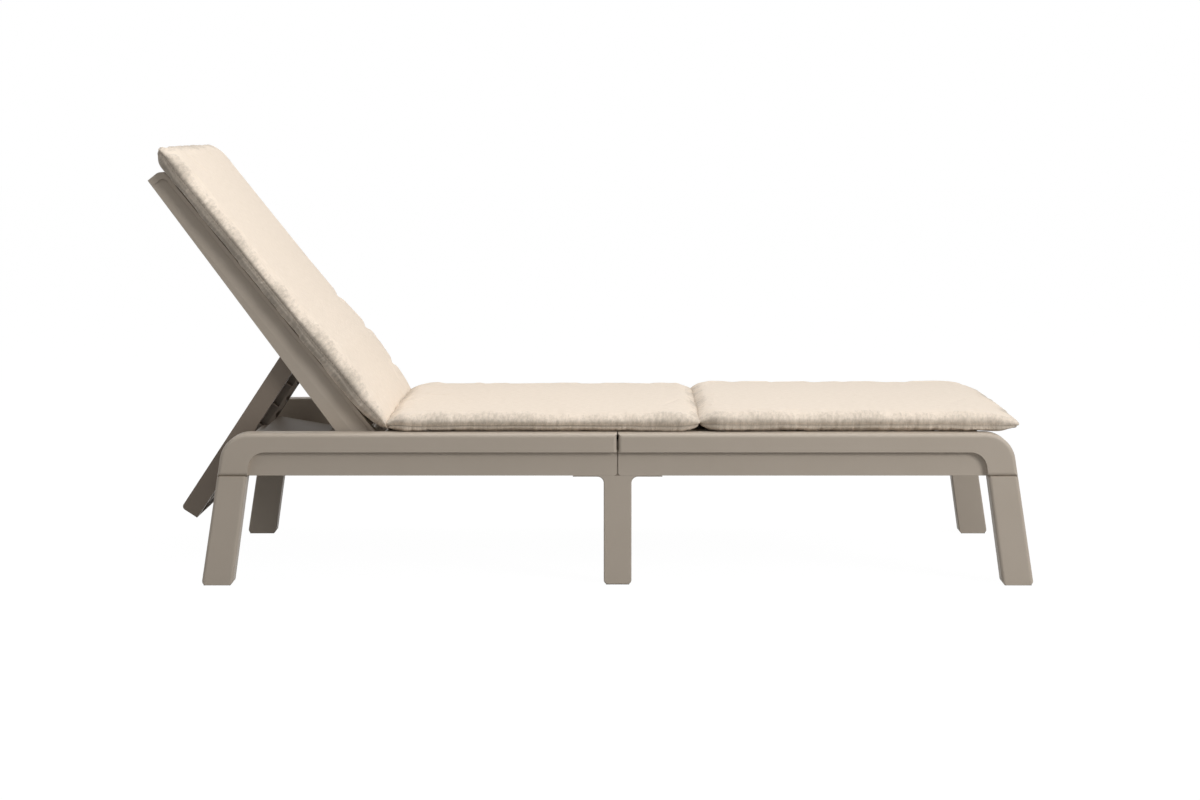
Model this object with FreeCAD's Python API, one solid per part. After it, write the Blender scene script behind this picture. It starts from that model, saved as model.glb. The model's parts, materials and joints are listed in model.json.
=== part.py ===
"""Spa relaxation lounger: moulded frame, reclining backrest on a folding prop, cushion in three sections.

Millimetres. Sizes along the lounger are counted from the middle legs, +X towards the feet, +Z up, and
the right-hand side of a person lying on it is -Y. At the end all pieces move along X, so that the
origin lies on the floor under the middle of the whole outline.
"""
import FreeCAD
import Part
import math
import os

Vector = FreeCAD.Vector
ORIGIN = Vector(0, 0, 0)
ALONG_Y = Vector(0, 1, 0)

# Whole lounger
foot_span = 1680.0           # over the outer corners of the end feet
frame_width = 680.0          # over the outer faces of the side rails
seat_height = 309.0          # floor to the top of the side rails
skin = 4.0                   # wall of the large mouldings
thin_wall = 3.0              # wall of the slats and ribs
fit_gap = 0.3                # between parts that meet without being joined
running_gap = 0.08           # between a pin and the bore that turns on it
overrun = 5.0                # how far a cutting solid runs past a face
small_edge_radius = 0.4      # where two faces of a moulding meet without a visible rounding

# Side rails, each in two halves that meet over the middle leg
rail_depth = 86.0            # height of a side rail
rail_thickness = 45.0
band_depth = 38.0            # upper band that curves down into the knee
apron_recess = 10.0          # apron face behind the band face
rail_corner_radius = 60.0
recess_corner_radius = 34.0
apron_end_radius = 6.0
rail_edge_radius = 8.0
rail_inner_chamfer = 2.0
rail_joint_gap = 2.0         # seam between the two halves
rail_bays = 5                # hollow bays between ribs in each half
solid_before_knee = 16.0     # from the last bay to the knee

# Legs
leg_lean = 36.0              # how far a foot stands out past the knee
leg_width_foot = 63.0
leg_width_knee = 60.0
leg_thickness = 42.0
leg_edge_radius = 7.0
leg_back_radius = 3.0
foot_outer_radius = 9.0
foot_inner_radius = 10.0
leg_seam = 1.5               # open seam between leg and knee
leg_land_inset = 4.0         # raised land that closes the seam inside
spigot_length = 38.0
spigot_width = 36.0
spigot_thickness = 22.0
middle_leg_width = 56.0
middle_leg_fillet = 13.0
middle_leg_chamfer = 1.5
saddle_half_length = 90.0
saddle_plate = 2.5
splice_half_length = 62.0
splice_rise = 70.0

# Glides that plug the open feet
glide_stand = 1.0            # how far a glide stands below the leg
glide_plug = 12.0
glide_draft = 0.5            # how much smaller the plug is than the opening, each side

# Hinge of the backrest
backrest_angle = 51.5        # as shown, above the seat plane
hinge_inset = 334.0          # from the outer corner of the head feet
hinge_drop = 29.0            # below the top of the side rails
hinge_pin_radius = 7.0
hinge_boss_radius = 17.0
pin_head_radius = 11.0
pin_head_length = 3.0

# Slats of the seat
slat_thickness = 14.0
slat_gap = 14.6
slat_count = 14
hinge_to_slats = 38.0        # from the hinge to the head edge of the first slat
slats_to_foot = 110.0        # from the last slat to the outer corner of the end feet
slat_edge_chamfer = 2.0
ledge_width = 16.0
ledge_thickness = 4.0
ledge_gusset = 22.0

# Backrest, measured from the hinge: length towards the top, height above the hinge plane
beam_gap = 15.0              # between a beam and the side rail
beam_length = 688.0
beam_heel = 26.0             # how far the beam runs past the hinge
beam_front = 28.0            # front plane above the hinge plane
beam_back_heel = 37.0        # back edge below the hinge plane, at the hinge
beam_back_top = 9.5          # the same at the top end
beam_thickness = 28.0
beam_heel_radius = 24.0
beam_top_radius = 16.0
beam_lip = 10.0              # wall outside the slat rebate
beam_bays = 6
scoop_depth = 5.0            # shallow hollow along the outer face
scoop_front_margin = 7.0
scoop_end_margin = 14.0
scoop_radius = 12.0
scoop_back_radius = 6.0
back_slat_thickness = 12.0
back_slat_gap = 16.0
back_slat_count = 7
back_slat_first = 24.0
top_bar_width = 38.0
top_bar_depth = 26.0
top_bar_radius = 6.5
bottom_bar_half = 13.0
bottom_bar_bevel = 5.0
hub_radius = 15.0

# Folding prop, measured from its pivot
prop_pivot_along = 239.0     # along the beam from the hinge
prop_pivot_drop = 3.8        # below the hinge plane
prop_spread = 107.85         # from the beam to the prop, as shown
prop_length = 396.0
prop_half_depth = 18.5
prop_rack_depth = 19.5       # underside below the pivot line
prop_arm_gap = 4.0           # between a prop arm and its beam, filled by the collar
prop_arm_thickness = 23.0
prop_tail_width = 36.0
prop_tail_radius = 8.0
prop_pin_radius = 6.0
prop_collar_radius = 12.0
notch_radius = 12.0
notch_offset = 26.5          # centre of the notch arcs below the pivot line
notch_reach = 14.0           # across the inner part of an arm, behind its plain outer skin
notch_places = (122.5, 164.5, 206.5, 248.5)
arm_pocket_count = 6

# Crossbar at the head end, which carries the prop; heights above the lower edge of the rails
bar_nose_inset = 40.0        # from the outer corner of the head feet
bar_depth_along = 172.0      # from the nose to the inner edge
bar_height = 36.5
bar_nose_radius = 15.0
bar_groove_inset = 36.0      # from the nose
bar_groove_height = 34.5
bar_ridge_inset = 45.0
bar_ridge_height = 55.0
bar_ridge_hollow = 12.0      # of the ridge over its hollow
bar_ramp_height = 34.0
bar_low_height = 21.0        # beside the prop arms, under the lowered beams
bar_low_radius = 7.5
bar_bays = 6
catch_clearance = 0.4        # between the catch and the notch that rests on it
catch_lean = 12.0            # degrees by which the face below the catch leans back
arm_slot_gap = 2.5           # on each side of a prop arm

# Crossbars under the seat
under_bar_width = 58.0
under_bar_drop = 8.0         # below the undersides of the slats
under_bar_rise = 9.0         # above the lower edge of the rails
under_bar_radius = 6.0
foot_bar_inset = 140.0       # from the outer corner of the end feet to its middle
bar_flange = 14.0            # end flange against the rail

# Fasteners
lug_length = 24.0            # lug under each slat end, along the lounger
lug_width = 6.0
bolt_radius = 3.0
bolt_head_radius = 5.5
bolt_head_length = 3.0
bolt_grip = 16.0             # shank of a bolt that holds a leg or a rail half
bar_bolt_grip = 20.0         # shank of a bolt through a crossbar flange and the rail wall
bar_bolt_shares = (0.3, 0.7)     # places of two bolts along the width of the head crossbar
splice_bolt_share = 0.25     # height of the splice bolts in the splice

# Cushion
cushion_inset = 40.0         # from the outer face of a rail to the edge seam
cushion_draw = 4.0           # how far the sides are drawn in between the corners
hinge_to_fold = 41.4         # from the hinge to where seat and back sections meet
seat_section_length = 629.6
cushion_to_foot = 34.0       # from the end of the cushion to the outer corner of the end feet
cushion_crease_gap = 1.2
seat_thickness = 33.0        # before the crown
leg_cushion_thickness = 36.0
back_thickness = 38.0
back_bulge = 9.0             # extra thickness at the lower back
bulge_place = 175.0          # along the beam from the hinge
bulge_reach = 150.0
edge_thickness = 6.0         # at the thin end edges
fold_ramp = 40.0             # lengths over which the ends round off
crease_ramp = 30.0
pinch_ramp = 75.0
heel_ramp = 80.0
top_ramp = 24.0
fold_lift = 4.0              # of the thin end edges above the base
crease_lift = 10.0
pinch_lift = 5.0
heel_lift = 20.0
top_lift = 15.0
back_cushion_heel = -1.0     # along the beam from the hinge
back_cushion_overhang = 28.0     # past the top of the beams
cushion_seam_share = 0.36    # height of the edge seam in the thickness
least_crown_share = 0.15     # crown at the thin edges, as a share of the full crown
end_steps = 3                # stations in each rounded end
level_steps = 4              # stretches between stations in the level part
back_steps = 6               # the same along the back section
cushion_shoulder = 24.0      # from the seam in to the top face
cushion_under = 14.0         # from the seam in to the bottom face
cushion_crown = 8.0

# Places worked out from the sizes above
rail_bottom = seat_height - rail_depth
rail_outer = frame_width / 2
rail_inner = rail_outer - rail_thickness
apron_face = rail_outer - apron_recess
band_bottom = seat_height - band_depth
foot_outer_x = foot_span / 2
foot_inner_x = foot_outer_x - leg_width_foot
knee_outer_x = foot_outer_x - leg_lean
knee_inner_x = knee_outer_x - leg_width_knee
rail_bay_end = knee_inner_x - solid_before_knee
leg_inner_face = rail_outer - leg_thickness
hinge_x = hinge_inset - foot_outer_x
hinge_z = seat_height - hinge_drop
slat_first_x = hinge_x + hinge_to_slats
slat_last_x = foot_outer_x - slats_to_foot
slat_pitch = (slat_last_x - slat_first_x + slat_gap) / slat_count
slat_width = slat_pitch - slat_gap
slat_top = hinge_z + beam_front
ledge_top = slat_top - slat_thickness
beam_outer = rail_inner - beam_gap
beam_inner = beam_outer - beam_thickness
rebate_outer = beam_outer - beam_lip
rebate_floor = beam_front - back_slat_thickness
top_bar_start = beam_length - beam_lip - top_bar_width
back_slat_pitch = (top_bar_start - back_slat_first) / back_slat_count
back_slat_width = back_slat_pitch - back_slat_gap
prop_arm_outer = beam_inner - prop_arm_gap
prop_arm_inner = prop_arm_outer - prop_arm_thickness
catch_radius = notch_radius - catch_clearance
prop_angle = backrest_angle - prop_spread
bar_nose_x = bar_nose_inset - foot_outer_x
bar_inner_x = bar_nose_x + bar_depth_along
bar_top = rail_bottom + bar_height
bar_low_top = rail_bottom + bar_low_height
bar_ramp_z = rail_bottom + bar_ramp_height
under_bar_top = ledge_top - under_bar_drop
under_bar_bottom = rail_bottom + under_bar_rise
foot_bar_centre_x = foot_outer_x - foot_bar_inset
cushion_half_width = rail_outer - cushion_inset
cushion_base = slat_top + fit_gap
cushion_fold_x = hinge_x + hinge_to_fold
cushion_crease_x = cushion_fold_x + seat_section_length
cushion_end_x = foot_outer_x - cushion_to_foot
backrest_tip_x = (hinge_x - beam_length * math.cos(math.radians(backrest_angle))
                  - beam_back_top * math.sin(math.radians(backrest_angle)))
origin_x = (foot_outer_x + backrest_tip_x) / 2


def outer_edge_x(z):
    """Outer edge of an end leg and its knee at height z."""
    return foot_outer_x - leg_lean * z / rail_bottom


def inner_edge_x(z):
    """Inner edge of an end leg and its knee at height z."""
    return foot_inner_x - (foot_inner_x - knee_inner_x) * z / rail_bottom


def beam_back(along):
    """Back edge of a beam, below the hinge plane, at a length from the hinge."""
    return beam_back_heel - (beam_back_heel - beam_back_top) * along / beam_length


# Helpers

def box(x0, x1, y0, y1, z0, z1):
    """Box between two opposite corners."""
    return Part.makeBox(x1 - x0, y1 - y0, z1 - z0, Vector(x0, y0, z0))


def rod(radius, length, start, direction):
    """Round rod from a point along a direction."""
    return Part.makeCylinder(radius, length, start, direction)


def hex_bar(radius, length, start, direction):
    """Six-sided bar from a point along a direction across the lounger."""
    points = []
    for corner in range(7):
        turn = math.radians(60 * corner)
        points.append(start + Vector(radius * math.cos(turn), 0, radius * math.sin(turn)))
    return Part.Face(Part.makePolygon(points)).extrude(direction * length)


def rounded_wire(corners):
    """Closed wire through (point, radius) corners, with each corner rounded by its radius."""
    edges = []
    spans = []
    count = len(corners)
    for index, (here, radius) in enumerate(corners):
        before = corners[index - 1][0]
        after = corners[(index + 1) % count][0]
        if radius == 0:
            spans.append((here, here))
            continue
        back = (before - here).normalize()
        ahead = (after - here).normalize()
        half_angle = back.getAngle(ahead) / 2
        start = here + back * (radius / math.tan(half_angle))
        end = here + ahead * (radius / math.tan(half_angle))
        middle = here + (back + ahead).normalize() * (radius / math.sin(half_angle) - radius)
        edges.append(Part.Arc(start, middle, end).toShape())
        spans.append((start, end))
    for index, (start, end) in enumerate(spans):
        after = spans[(index + 1) % count][0]
        if end.distanceToPoint(after) > running_gap:
            edges.append(Part.makeLine(end, after))
    return Part.Wire(Part.__sortEdges__(edges))


def side_plate(corners, y0, y1):
    """Solid between two planes across the lounger, from (x, z, radius) corners of its side view."""
    points = [(Vector(x, y0, z), radius) for x, z, radius in corners]
    return Part.Face(rounded_wire(points)).extrude(Vector(0, y1 - y0, 0))


def cross_plate(corners, x0, x1):
    """Solid between two planes along the lounger, from (y, z, radius) corners of its end view."""
    points = [(Vector(x0, y, z), radius) for y, z, radius in corners]
    return Part.Face(rounded_wire(points)).extrude(Vector(x1 - x0, 0, 0))


def edges_in_plane(shape, axis, place, keep=None):
    """Edges that lie in the plane axis = place, and pass the keep test if one is given."""
    found = []
    for edge in shape.Edges:
        level = all(abs(getattr(vertex.Point, axis) - place) < running_gap for vertex in edge.Vertexes)
        if level and (keep is None or keep(edge.CenterOfMass)):
            found.append(edge)
    return found


def mirrored_side(shape):
    """The same piece on the other side of the lounger."""
    return shape.mirror(ORIGIN, ALONG_Y)


def mirrored_end(shape):
    """The same piece at the other end of the lounger."""
    return shape.mirror(ORIGIN, Vector(1, 0, 0))


def on_backrest(shape):
    """Move a piece from the level hinge frame to the raised backrest."""
    moved = shape.copy()
    moved.rotate(ORIGIN, ALONG_Y, backrest_angle)
    moved.translate(Vector(hinge_x, 0, hinge_z))
    return moved


def prop_pivot():
    """Pivot of the prop on the raised backrest."""
    pivot = Part.Vertex(Vector(-prop_pivot_along, 0, -prop_pivot_drop))
    return on_backrest(pivot).Point


def on_prop(shape):
    """Move a piece from the level pivot frame to the lowered prop."""
    moved = shape.copy()
    moved.rotate(ORIGIN, ALONG_Y, prop_angle)
    moved.translate(prop_pivot())
    return moved


# Side rails

def rail_skin():
    """Foot half of the right rail before it is hollowed: band, knee and recessed apron."""
    outline = [
        (rail_joint_gap / 2, rail_bottom, apron_end_radius),
        (rail_joint_gap / 2, seat_height, 0),
        (outer_edge_x(seat_height), seat_height, rail_corner_radius),
        (outer_edge_x(rail_bottom), rail_bottom, 0),
    ]
    skin_solid = side_plate(outline, -rail_outer, -rail_inner)

    def on_top_line(centre):
        return centre.z > rail_bottom + fit_gap and centre.x > rail_joint_gap

    outer_edges = edges_in_plane(skin_solid, "y", -rail_outer, on_top_line)
    skin_solid = skin_solid.makeFillet(rail_edge_radius, outer_edges)
    inner_edges = edges_in_plane(skin_solid, "y", -rail_inner, on_top_line)
    skin_solid = skin_solid.makeChamfer(rail_inner_chamfer, inner_edges)
    recess = [
        (-overrun, rail_bottom - overrun, 0),
        (-overrun, band_bottom, 0),
        (inner_edge_x(band_bottom), band_bottom, recess_corner_radius),
        (inner_edge_x(rail_bottom - overrun), rail_bottom - overrun, 0),
    ]
    return skin_solid.cut(side_plate(recess, -rail_outer - overrun, -apron_face))


def rail_bay(x0, x1):
    """Hollow inside the rail channel, open downwards."""
    low = rail_bottom - overrun
    high = seat_height - skin
    profile = [
        (-apron_face + skin, low, 0),
        (-apron_face + skin, band_bottom + skin, 0),
        (-rail_outer + skin, band_bottom + skin, 0),
        (-rail_outer + skin, high, 0),
        (-rail_inner - skin, high, 0),
        (-rail_inner - skin, low, 0),
    ]
    return cross_plate(profile, x0, x1)


def rail_bay_spans():
    """Start and end of each hollow bay, the first one open at the joint for the splice."""
    pitch = (rail_bay_end - splice_half_length) / rail_bays
    spans = [(-overrun, splice_half_length + fit_gap)]
    for index in range(rail_bays):
        start = splice_half_length + index * pitch + thin_wall
        spans.append((start, start + pitch - thin_wall))
    return spans


def spigot(growth, extra):
    """Spigot of a foot-end leg, leaning with the leg; growth widens it on each side for the socket."""
    top = rail_bottom + spigot_length + extra
    middle_low = (outer_edge_x(rail_bottom) + inner_edge_x(rail_bottom)) / 2
    middle_high = (outer_edge_x(top) + inner_edge_x(top)) / 2
    half = spigot_width / 2 + growth
    outline = [
        (middle_low - half, rail_bottom - leg_seam, 0),
        (middle_high - half, top, 0),
        (middle_high + half, top, 0),
        (middle_low + half, rail_bottom - leg_seam, 0),
    ]
    middle_y = -rail_outer + rail_thickness / 2
    half_thick = spigot_thickness / 2 + growth
    return side_plate(outline, middle_y - half_thick, middle_y + half_thick)


def slat_ledge(x0, x1):
    """Ledge with gussets on the inner wall, which carries the slat ends."""
    inner_y = -rail_inner + ledge_width
    ledge = box(x0, x1, -rail_inner - skin / 2, inner_y, ledge_top - ledge_thickness, ledge_top)
    pieces = []
    for start, end in rail_bay_spans()[1:]:
        middle = (start + end) / 2
        if x0 < middle < x1:
            gusset = [
                (-rail_inner - skin / 2, ledge_top - ledge_thickness, 0),
                (inner_y - thin_wall, ledge_top - ledge_thickness, 0),
                (-rail_inner - skin / 2, ledge_top - ledge_gusset, 0),
            ]
            pieces.append(cross_plate(gusset, middle - thin_wall / 2, middle + thin_wall / 2))
    return ledge.fuse(pieces)


def rail_half():
    """Foot half of the right rail, hollow and ribbed, without its ledge."""
    rail = rail_skin()
    for start, end in rail_bay_spans():
        rail = rail.cut(rail_bay(start, end))
    return rail.cut(spigot(fit_gap, fit_gap))


def foot_rail():
    """Right rail half at the foot end, with its slat ledge up to the knee."""
    return rail_half().fuse(slat_ledge(rail_joint_gap / 2, slat_last_x + thin_wall)).removeSplitter()


def head_rail():
    """Right rail half at the head end, with the hinge boss and a ledge up to the backrest."""
    ledge = mirrored_end(slat_ledge(rail_joint_gap / 2, -slat_first_x + thin_wall))
    boss_start = Vector(hinge_x, -rail_inner - skin / 2, hinge_z)
    boss_length = rail_inner + skin / 2 - beam_outer - fit_gap
    boss = rod(hinge_boss_radius, boss_length, boss_start, ALONG_Y)
    rail = mirrored_end(rail_half()).fuse([ledge, boss])
    bore_start = Vector(hinge_x, -rail_inner - skin - overrun, hinge_z)
    bore = rod(hinge_pin_radius, rail_thickness, bore_start, ALONG_Y)
    return rail.cut(bore).removeSplitter()


# Legs

def leg_outline(inset, foot_z, outer_radius, inner_radius):
    """Side view of a foot-end leg down to a height, pulled in by inset, with its foot corners rounded."""
    top = rail_bottom - leg_seam - 2 * inset
    return [
        (outer_edge_x(top) - inset, top, 0),
        (outer_edge_x(foot_z) - inset, foot_z, outer_radius),
        (inner_edge_x(foot_z) + inset, foot_z, inner_radius),
        (inner_edge_x(top) + inset, top, 0),
    ]


def soften_leg(leg):
    """Round the long edges of a leg, the outer face more than the back."""

    def at_side(centre):
        return glide_stand + fit_gap < centre.z < rail_bottom - leg_seam - fit_gap

    leg = leg.makeFillet(leg_edge_radius, edges_in_plane(leg, "y", -rail_outer, at_side))
    return leg.makeFillet(leg_back_radius, edges_in_plane(leg, "y", -leg_inner_face, at_side))


def foot_leg():
    """Right leg at the foot end: leaning shell open at the bottom, with a land and spigot on top."""
    top = rail_bottom - leg_seam
    leg = soften_leg(side_plate(leg_outline(0, glide_stand, 0, 0), -rail_outer, -leg_inner_face))
    rounded = leg_outline(0, glide_stand, foot_outer_radius, foot_inner_radius)
    leg = leg.common(side_plate(rounded, -rail_outer, -leg_inner_face))
    hollow_outline = leg_outline(skin, glide_stand - overrun, 0, 0)
    hollow = side_plate(hollow_outline, -rail_outer + skin, -leg_inner_face - skin)
    land = [
        (outer_edge_x(top) - leg_land_inset, top - thin_wall, 0),
        (outer_edge_x(top) - leg_land_inset, rail_bottom, 0),
        (inner_edge_x(top) + leg_land_inset, rail_bottom, 0),
        (inner_edge_x(top) + leg_land_inset, top - thin_wall, 0),
    ]
    land_solid = side_plate(land, -rail_outer + leg_land_inset, -leg_inner_face - leg_land_inset)
    return leg.cut(hollow).fuse([land_solid, spigot(0, 0)]).removeSplitter()


def middle_leg():
    """Right middle leg: straight shell under a saddle, with the splice inside both rail halves."""
    half = middle_leg_width / 2
    saddle_z = rail_bottom - saddle_plate
    outline = [
        (-half, glide_stand, foot_outer_radius),
        (-half, saddle_z, middle_leg_fillet),
        (-saddle_half_length, saddle_z, 0),
        (-saddle_half_length, rail_bottom, 0),
        (saddle_half_length, rail_bottom, 0),
        (saddle_half_length, saddle_z, 0),
        (half, saddle_z, middle_leg_fillet),
        (half, glide_stand, foot_outer_radius),
    ]
    leg = side_plate(outline, -apron_face, -leg_inner_face)

    def below_saddle(centre):
        return centre.z < rail_bottom - saddle_plate / 2

    leg = leg.makeChamfer(middle_leg_chamfer, edges_in_plane(leg, "y", -apron_face, below_saddle))
    hollow = box(-half + skin, half - skin, -apron_face + skin, -leg_inner_face - skin,
                 glide_stand - overrun, saddle_z - 2 * skin)
    splice_outer = -apron_face + skin + fit_gap
    splice_inner = -rail_inner - skin - fit_gap
    splice = box(-splice_half_length, splice_half_length, splice_outer, splice_inner,
                 rail_bottom - saddle_plate, rail_bottom + splice_rise)
    leg = leg.cut(hollow).fuse(splice)
    for side in (-1, 1):
        middle = side * splice_half_length / 2
        pocket_half = splice_half_length / 2 - skin
        pocket = box(middle - pocket_half, middle + pocket_half, splice_outer + skin, splice_inner - skin,
                     rail_bottom + skin, rail_bottom + splice_rise + overrun)
        leg = leg.cut(pocket)
    return leg.removeSplitter()


def glide_at_foot():
    """Glide that plugs the right foot-end leg."""
    plug_inset = skin + glide_draft
    outline = [
        (outer_edge_x(glide_stand + glide_plug) - plug_inset, glide_plug, 0),
        (outer_edge_x(0) - plug_inset, 0, 0),
        (inner_edge_x(0) + plug_inset, 0, 0),
        (inner_edge_x(glide_stand + glide_plug) + plug_inset, glide_plug, 0),
    ]
    return side_plate(outline, -rail_outer + plug_inset, -leg_inner_face - plug_inset)


def glide_at_middle():
    """Glide that plugs the right middle leg."""
    plug_inset = skin + glide_draft
    half = middle_leg_width / 2 - plug_inset
    return box(-half, half, -apron_face + plug_inset, -leg_inner_face - plug_inset, 0, glide_plug)


def leg_glides():
    """All six glides as one group."""
    right = [glide_at_foot(), mirrored_end(glide_at_foot()), glide_at_middle()]
    return Part.makeCompound(right + [mirrored_side(glide) for glide in right])


# Crossbars

def catch_centre():
    """Centre of the catch, where the lowest shown notch of the prop sits."""
    notch = Part.Vertex(Vector(-notch_places[-1], 0, -notch_offset))
    return on_prop(notch).Point


def seat_outline(radius):
    """Side view of the crossbar under a prop arm, with a rounded edge of a radius about the catch centre."""
    catch = catch_centre()
    lean = math.radians(catch_lean)
    top = catch.z + radius
    low_x = catch.x - (radius + (rail_bottom - catch.z) * math.sin(lean)) / math.cos(lean)
    high_x = catch.x - radius * (1 + math.sin(lean)) / math.cos(lean)
    return [
        (low_x, rail_bottom, 0),
        (high_x, top, radius),
        (catch.x + radius, top, thin_wall),
        (bar_inner_x, bar_low_top, thin_wall),
        (bar_inner_x, rail_bottom, 0),
    ]


def head_crossbar():
    """Wide moulded crossbar with a nose, a ridge between the prop arms and a catch for each arm."""
    slot_inner = prop_arm_inner - arm_slot_gap
    slot_outer = prop_arm_outer + arm_slot_gap
    catch_outer = prop_arm_inner + notch_reach - arm_slot_gap
    middle = [
        (bar_nose_x, rail_bottom, 0),
        (bar_nose_x, bar_top, bar_nose_radius),
        (bar_nose_x + bar_groove_inset, rail_bottom + bar_groove_height, 0),
        (bar_nose_x + bar_ridge_inset, rail_bottom + bar_ridge_height, small_edge_radius),
        (bar_inner_x, bar_ramp_z, thin_wall),
        (bar_inner_x, rail_bottom, 0),
    ]
    low = [
        (bar_nose_x, rail_bottom, 0),
        (bar_nose_x, bar_low_top, bar_low_radius),
        (bar_inner_x, bar_low_top, thin_wall),
        (bar_inner_x, rail_bottom, 0),
    ]
    bar = side_plate(middle, -slot_inner, slot_inner)
    strips = [
        (seat_outline(catch_radius), slot_inner, catch_outer),
        (seat_outline(notch_offset - prop_rack_depth - arm_slot_gap), catch_outer, slot_outer),
        (low, slot_outer, rail_inner),
    ]
    for outline, start, end in strips:
        bar = bar.fuse([side_plate(outline, -end, -start), side_plate(outline, start, end)])
    bar = bar.cut(head_bar_pockets(slot_inner))
    return bar.removeSplitter()


def head_bar_pockets(half_length):
    """Hollows between the ribs under the middle of the head crossbar."""
    profile = [
        (bar_nose_x + skin, rail_bottom - overrun, 0),
        (bar_nose_x + skin, bar_top - bar_nose_radius, 0),
        (bar_nose_x + bar_nose_radius, bar_top - skin, 0),
        (bar_nose_x + bar_groove_inset, rail_bottom + bar_groove_height - skin, 0),
        (bar_nose_x + bar_ridge_inset + skin, rail_bottom + bar_ridge_height - bar_ridge_hollow, 0),
        (bar_inner_x - skin, bar_ramp_z - skin, 0),
        (bar_inner_x - skin, rail_bottom - overrun, 0),
    ]
    pitch = 2 * half_length / bar_bays
    pockets = []
    for index in range(bar_bays):
        start = -half_length + index * pitch + thin_wall
        pockets.append(side_plate(profile, start, start + pitch - 2 * thin_wall))
    return pockets


def under_bar(centre_x):
    """Channel crossbar under the slats, open below, with ribs and end flanges."""
    half = under_bar_width / 2
    outline = [
        (centre_x - half, under_bar_bottom, 0),
        (centre_x - half, under_bar_top, under_bar_radius),
        (centre_x + half, under_bar_top, under_bar_radius),
        (centre_x + half, under_bar_bottom, 0),
    ]
    hollow = [
        (centre_x - half + skin, under_bar_bottom - overrun, 0),
        (centre_x - half + skin, under_bar_top - skin, 0),
        (centre_x + half - skin, under_bar_top - skin, 0),
        (centre_x + half - skin, under_bar_bottom - overrun, 0),
    ]
    bar = side_plate(outline, -rail_inner, rail_inner)
    hollow_half = rail_inner - bar_flange
    pitch = (2 * hollow_half + thin_wall) / bar_bays
    for index in range(bar_bays):
        start = -hollow_half + index * pitch
        bar = bar.cut(side_plate(hollow, start, start + pitch - thin_wall))
    return bar


# Seat slats

def slat_start(index):
    """Head edge of a seat slat."""
    return slat_first_x + index * slat_pitch


def slat_outline(low_x, high_x, bottom, top):
    """Side view of a slat or bar with bevelled top edges."""
    return [
        (low_x, bottom, 0),
        (low_x, top - slat_edge_chamfer, 0),
        (low_x + slat_edge_chamfer, top, 0),
        (high_x - slat_edge_chamfer, top, 0),
        (high_x, top - slat_edge_chamfer, 0),
        (high_x, bottom, 0),
    ]


def seat_slat(index):
    """One seat slat: shallow tray with bevelled top edges and solid ends on the ledges."""
    start = slat_start(index)
    end = start + slat_width
    half = rail_inner - fit_gap
    slat = side_plate(slat_outline(start, end, ledge_top, slat_top), -half, half)
    pocket_half = half - ledge_width - lug_width - overrun
    for side in (-1, 1):
        span = sorted([side * thin_wall / 2, side * pocket_half])
        pocket = box(start + thin_wall, end - thin_wall, span[0], span[1],
                     ledge_top - overrun, slat_top - thin_wall)
        slat = slat.cut(pocket)
    return slat.fuse(seat_lugs(start)).removeSplitter()


def slat_lugs(middle_x, middle_y, floor_z, depth, growth):
    """Lugs under both ends of a slat, to a depth below its floor; growth widens them for their slots."""
    half_x = lug_length / 2 + growth
    half_y = lug_width / 2 + growth
    low = floor_z - depth
    high = floor_z + thin_wall
    return [
        box(middle_x - half_x, middle_x + half_x, -middle_y - half_y, -middle_y + half_y, low, high),
        box(middle_x - half_x, middle_x + half_x, middle_y - half_y, middle_y + half_y, low, high),
    ]


def seat_lugs(start):
    """Lugs of the seat slat that starts at a place, which hook inside both ledges."""
    middle_y = rail_inner - ledge_width - fit_gap - lug_width / 2
    return slat_lugs(start + slat_width / 2, middle_y, ledge_top, ledge_thickness, 0)


# Backrest in the level hinge frame: the top end points along -X and the front faces +Z

def beam_outline(inset):
    """Side view of a beam, pulled in by inset for its hollow."""
    top_x = -beam_length + inset
    heel_x = beam_heel - inset
    heel_radius = beam_heel_radius - inset
    return [
        (heel_x, beam_front - inset, heel_radius),
        (top_x, beam_front - inset, max(beam_top_radius - inset, thin_wall)),
        (top_x, -beam_back(beam_length) + inset, 0),
        (heel_x, -beam_back(-beam_heel) + inset, heel_radius),
    ]


def beam_scoop():
    """Shallow hollow along the outer face, deepest near the front lip."""
    front = beam_front - scoop_front_margin
    start = -beam_length + scoop_end_margin
    end = beam_heel - scoop_end_margin
    wedge = [
        (-beam_outer - overrun, front, 0),
        (-beam_outer + scoop_depth, front, 0),
        (-beam_outer, -beam_back(beam_length), 0),
        (-beam_outer - overrun, -beam_back(beam_length), 0),
    ]
    outline = [
        (end, front, scoop_radius),
        (start, front, scoop_radius),
        (start, -beam_back(beam_length), scoop_back_radius),
        (end, -beam_back(beam_length), scoop_radius),
    ]
    return cross_plate(wedge, start, end).common(side_plate(outline, -beam_outer - overrun, -rebate_outer))


def beam_hollow():
    """Ribbed hollow of the right beam, open towards the middle of the lounger."""
    hollow = side_plate(beam_outline(skin), -rebate_outer + running_gap, -beam_inner + overrun)
    under_rebate = box(-foot_span, foot_span, -beam_outer, 0, rebate_floor - skin, beam_front + overrun)
    hollow = hollow.cut(under_rebate)
    pitch = (beam_length - top_bar_depth) / beam_bays
    for index in range(1, beam_bays):
        rib_x = -index * pitch
        hollow = hollow.cut(box(rib_x, rib_x + thin_wall, -beam_outer, 0, -foot_span, foot_span))
    hubs = [
        rod(hub_radius, beam_thickness, Vector(0, -beam_outer, 0), ALONG_Y),
        rod(hub_radius, beam_thickness, Vector(-prop_pivot_along, -beam_outer, -prop_pivot_drop), ALONG_Y),
        box(-beam_length, -top_bar_start, -beam_outer, 0, -foot_span, foot_span),
    ]
    return hollow.cut(hubs)


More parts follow.
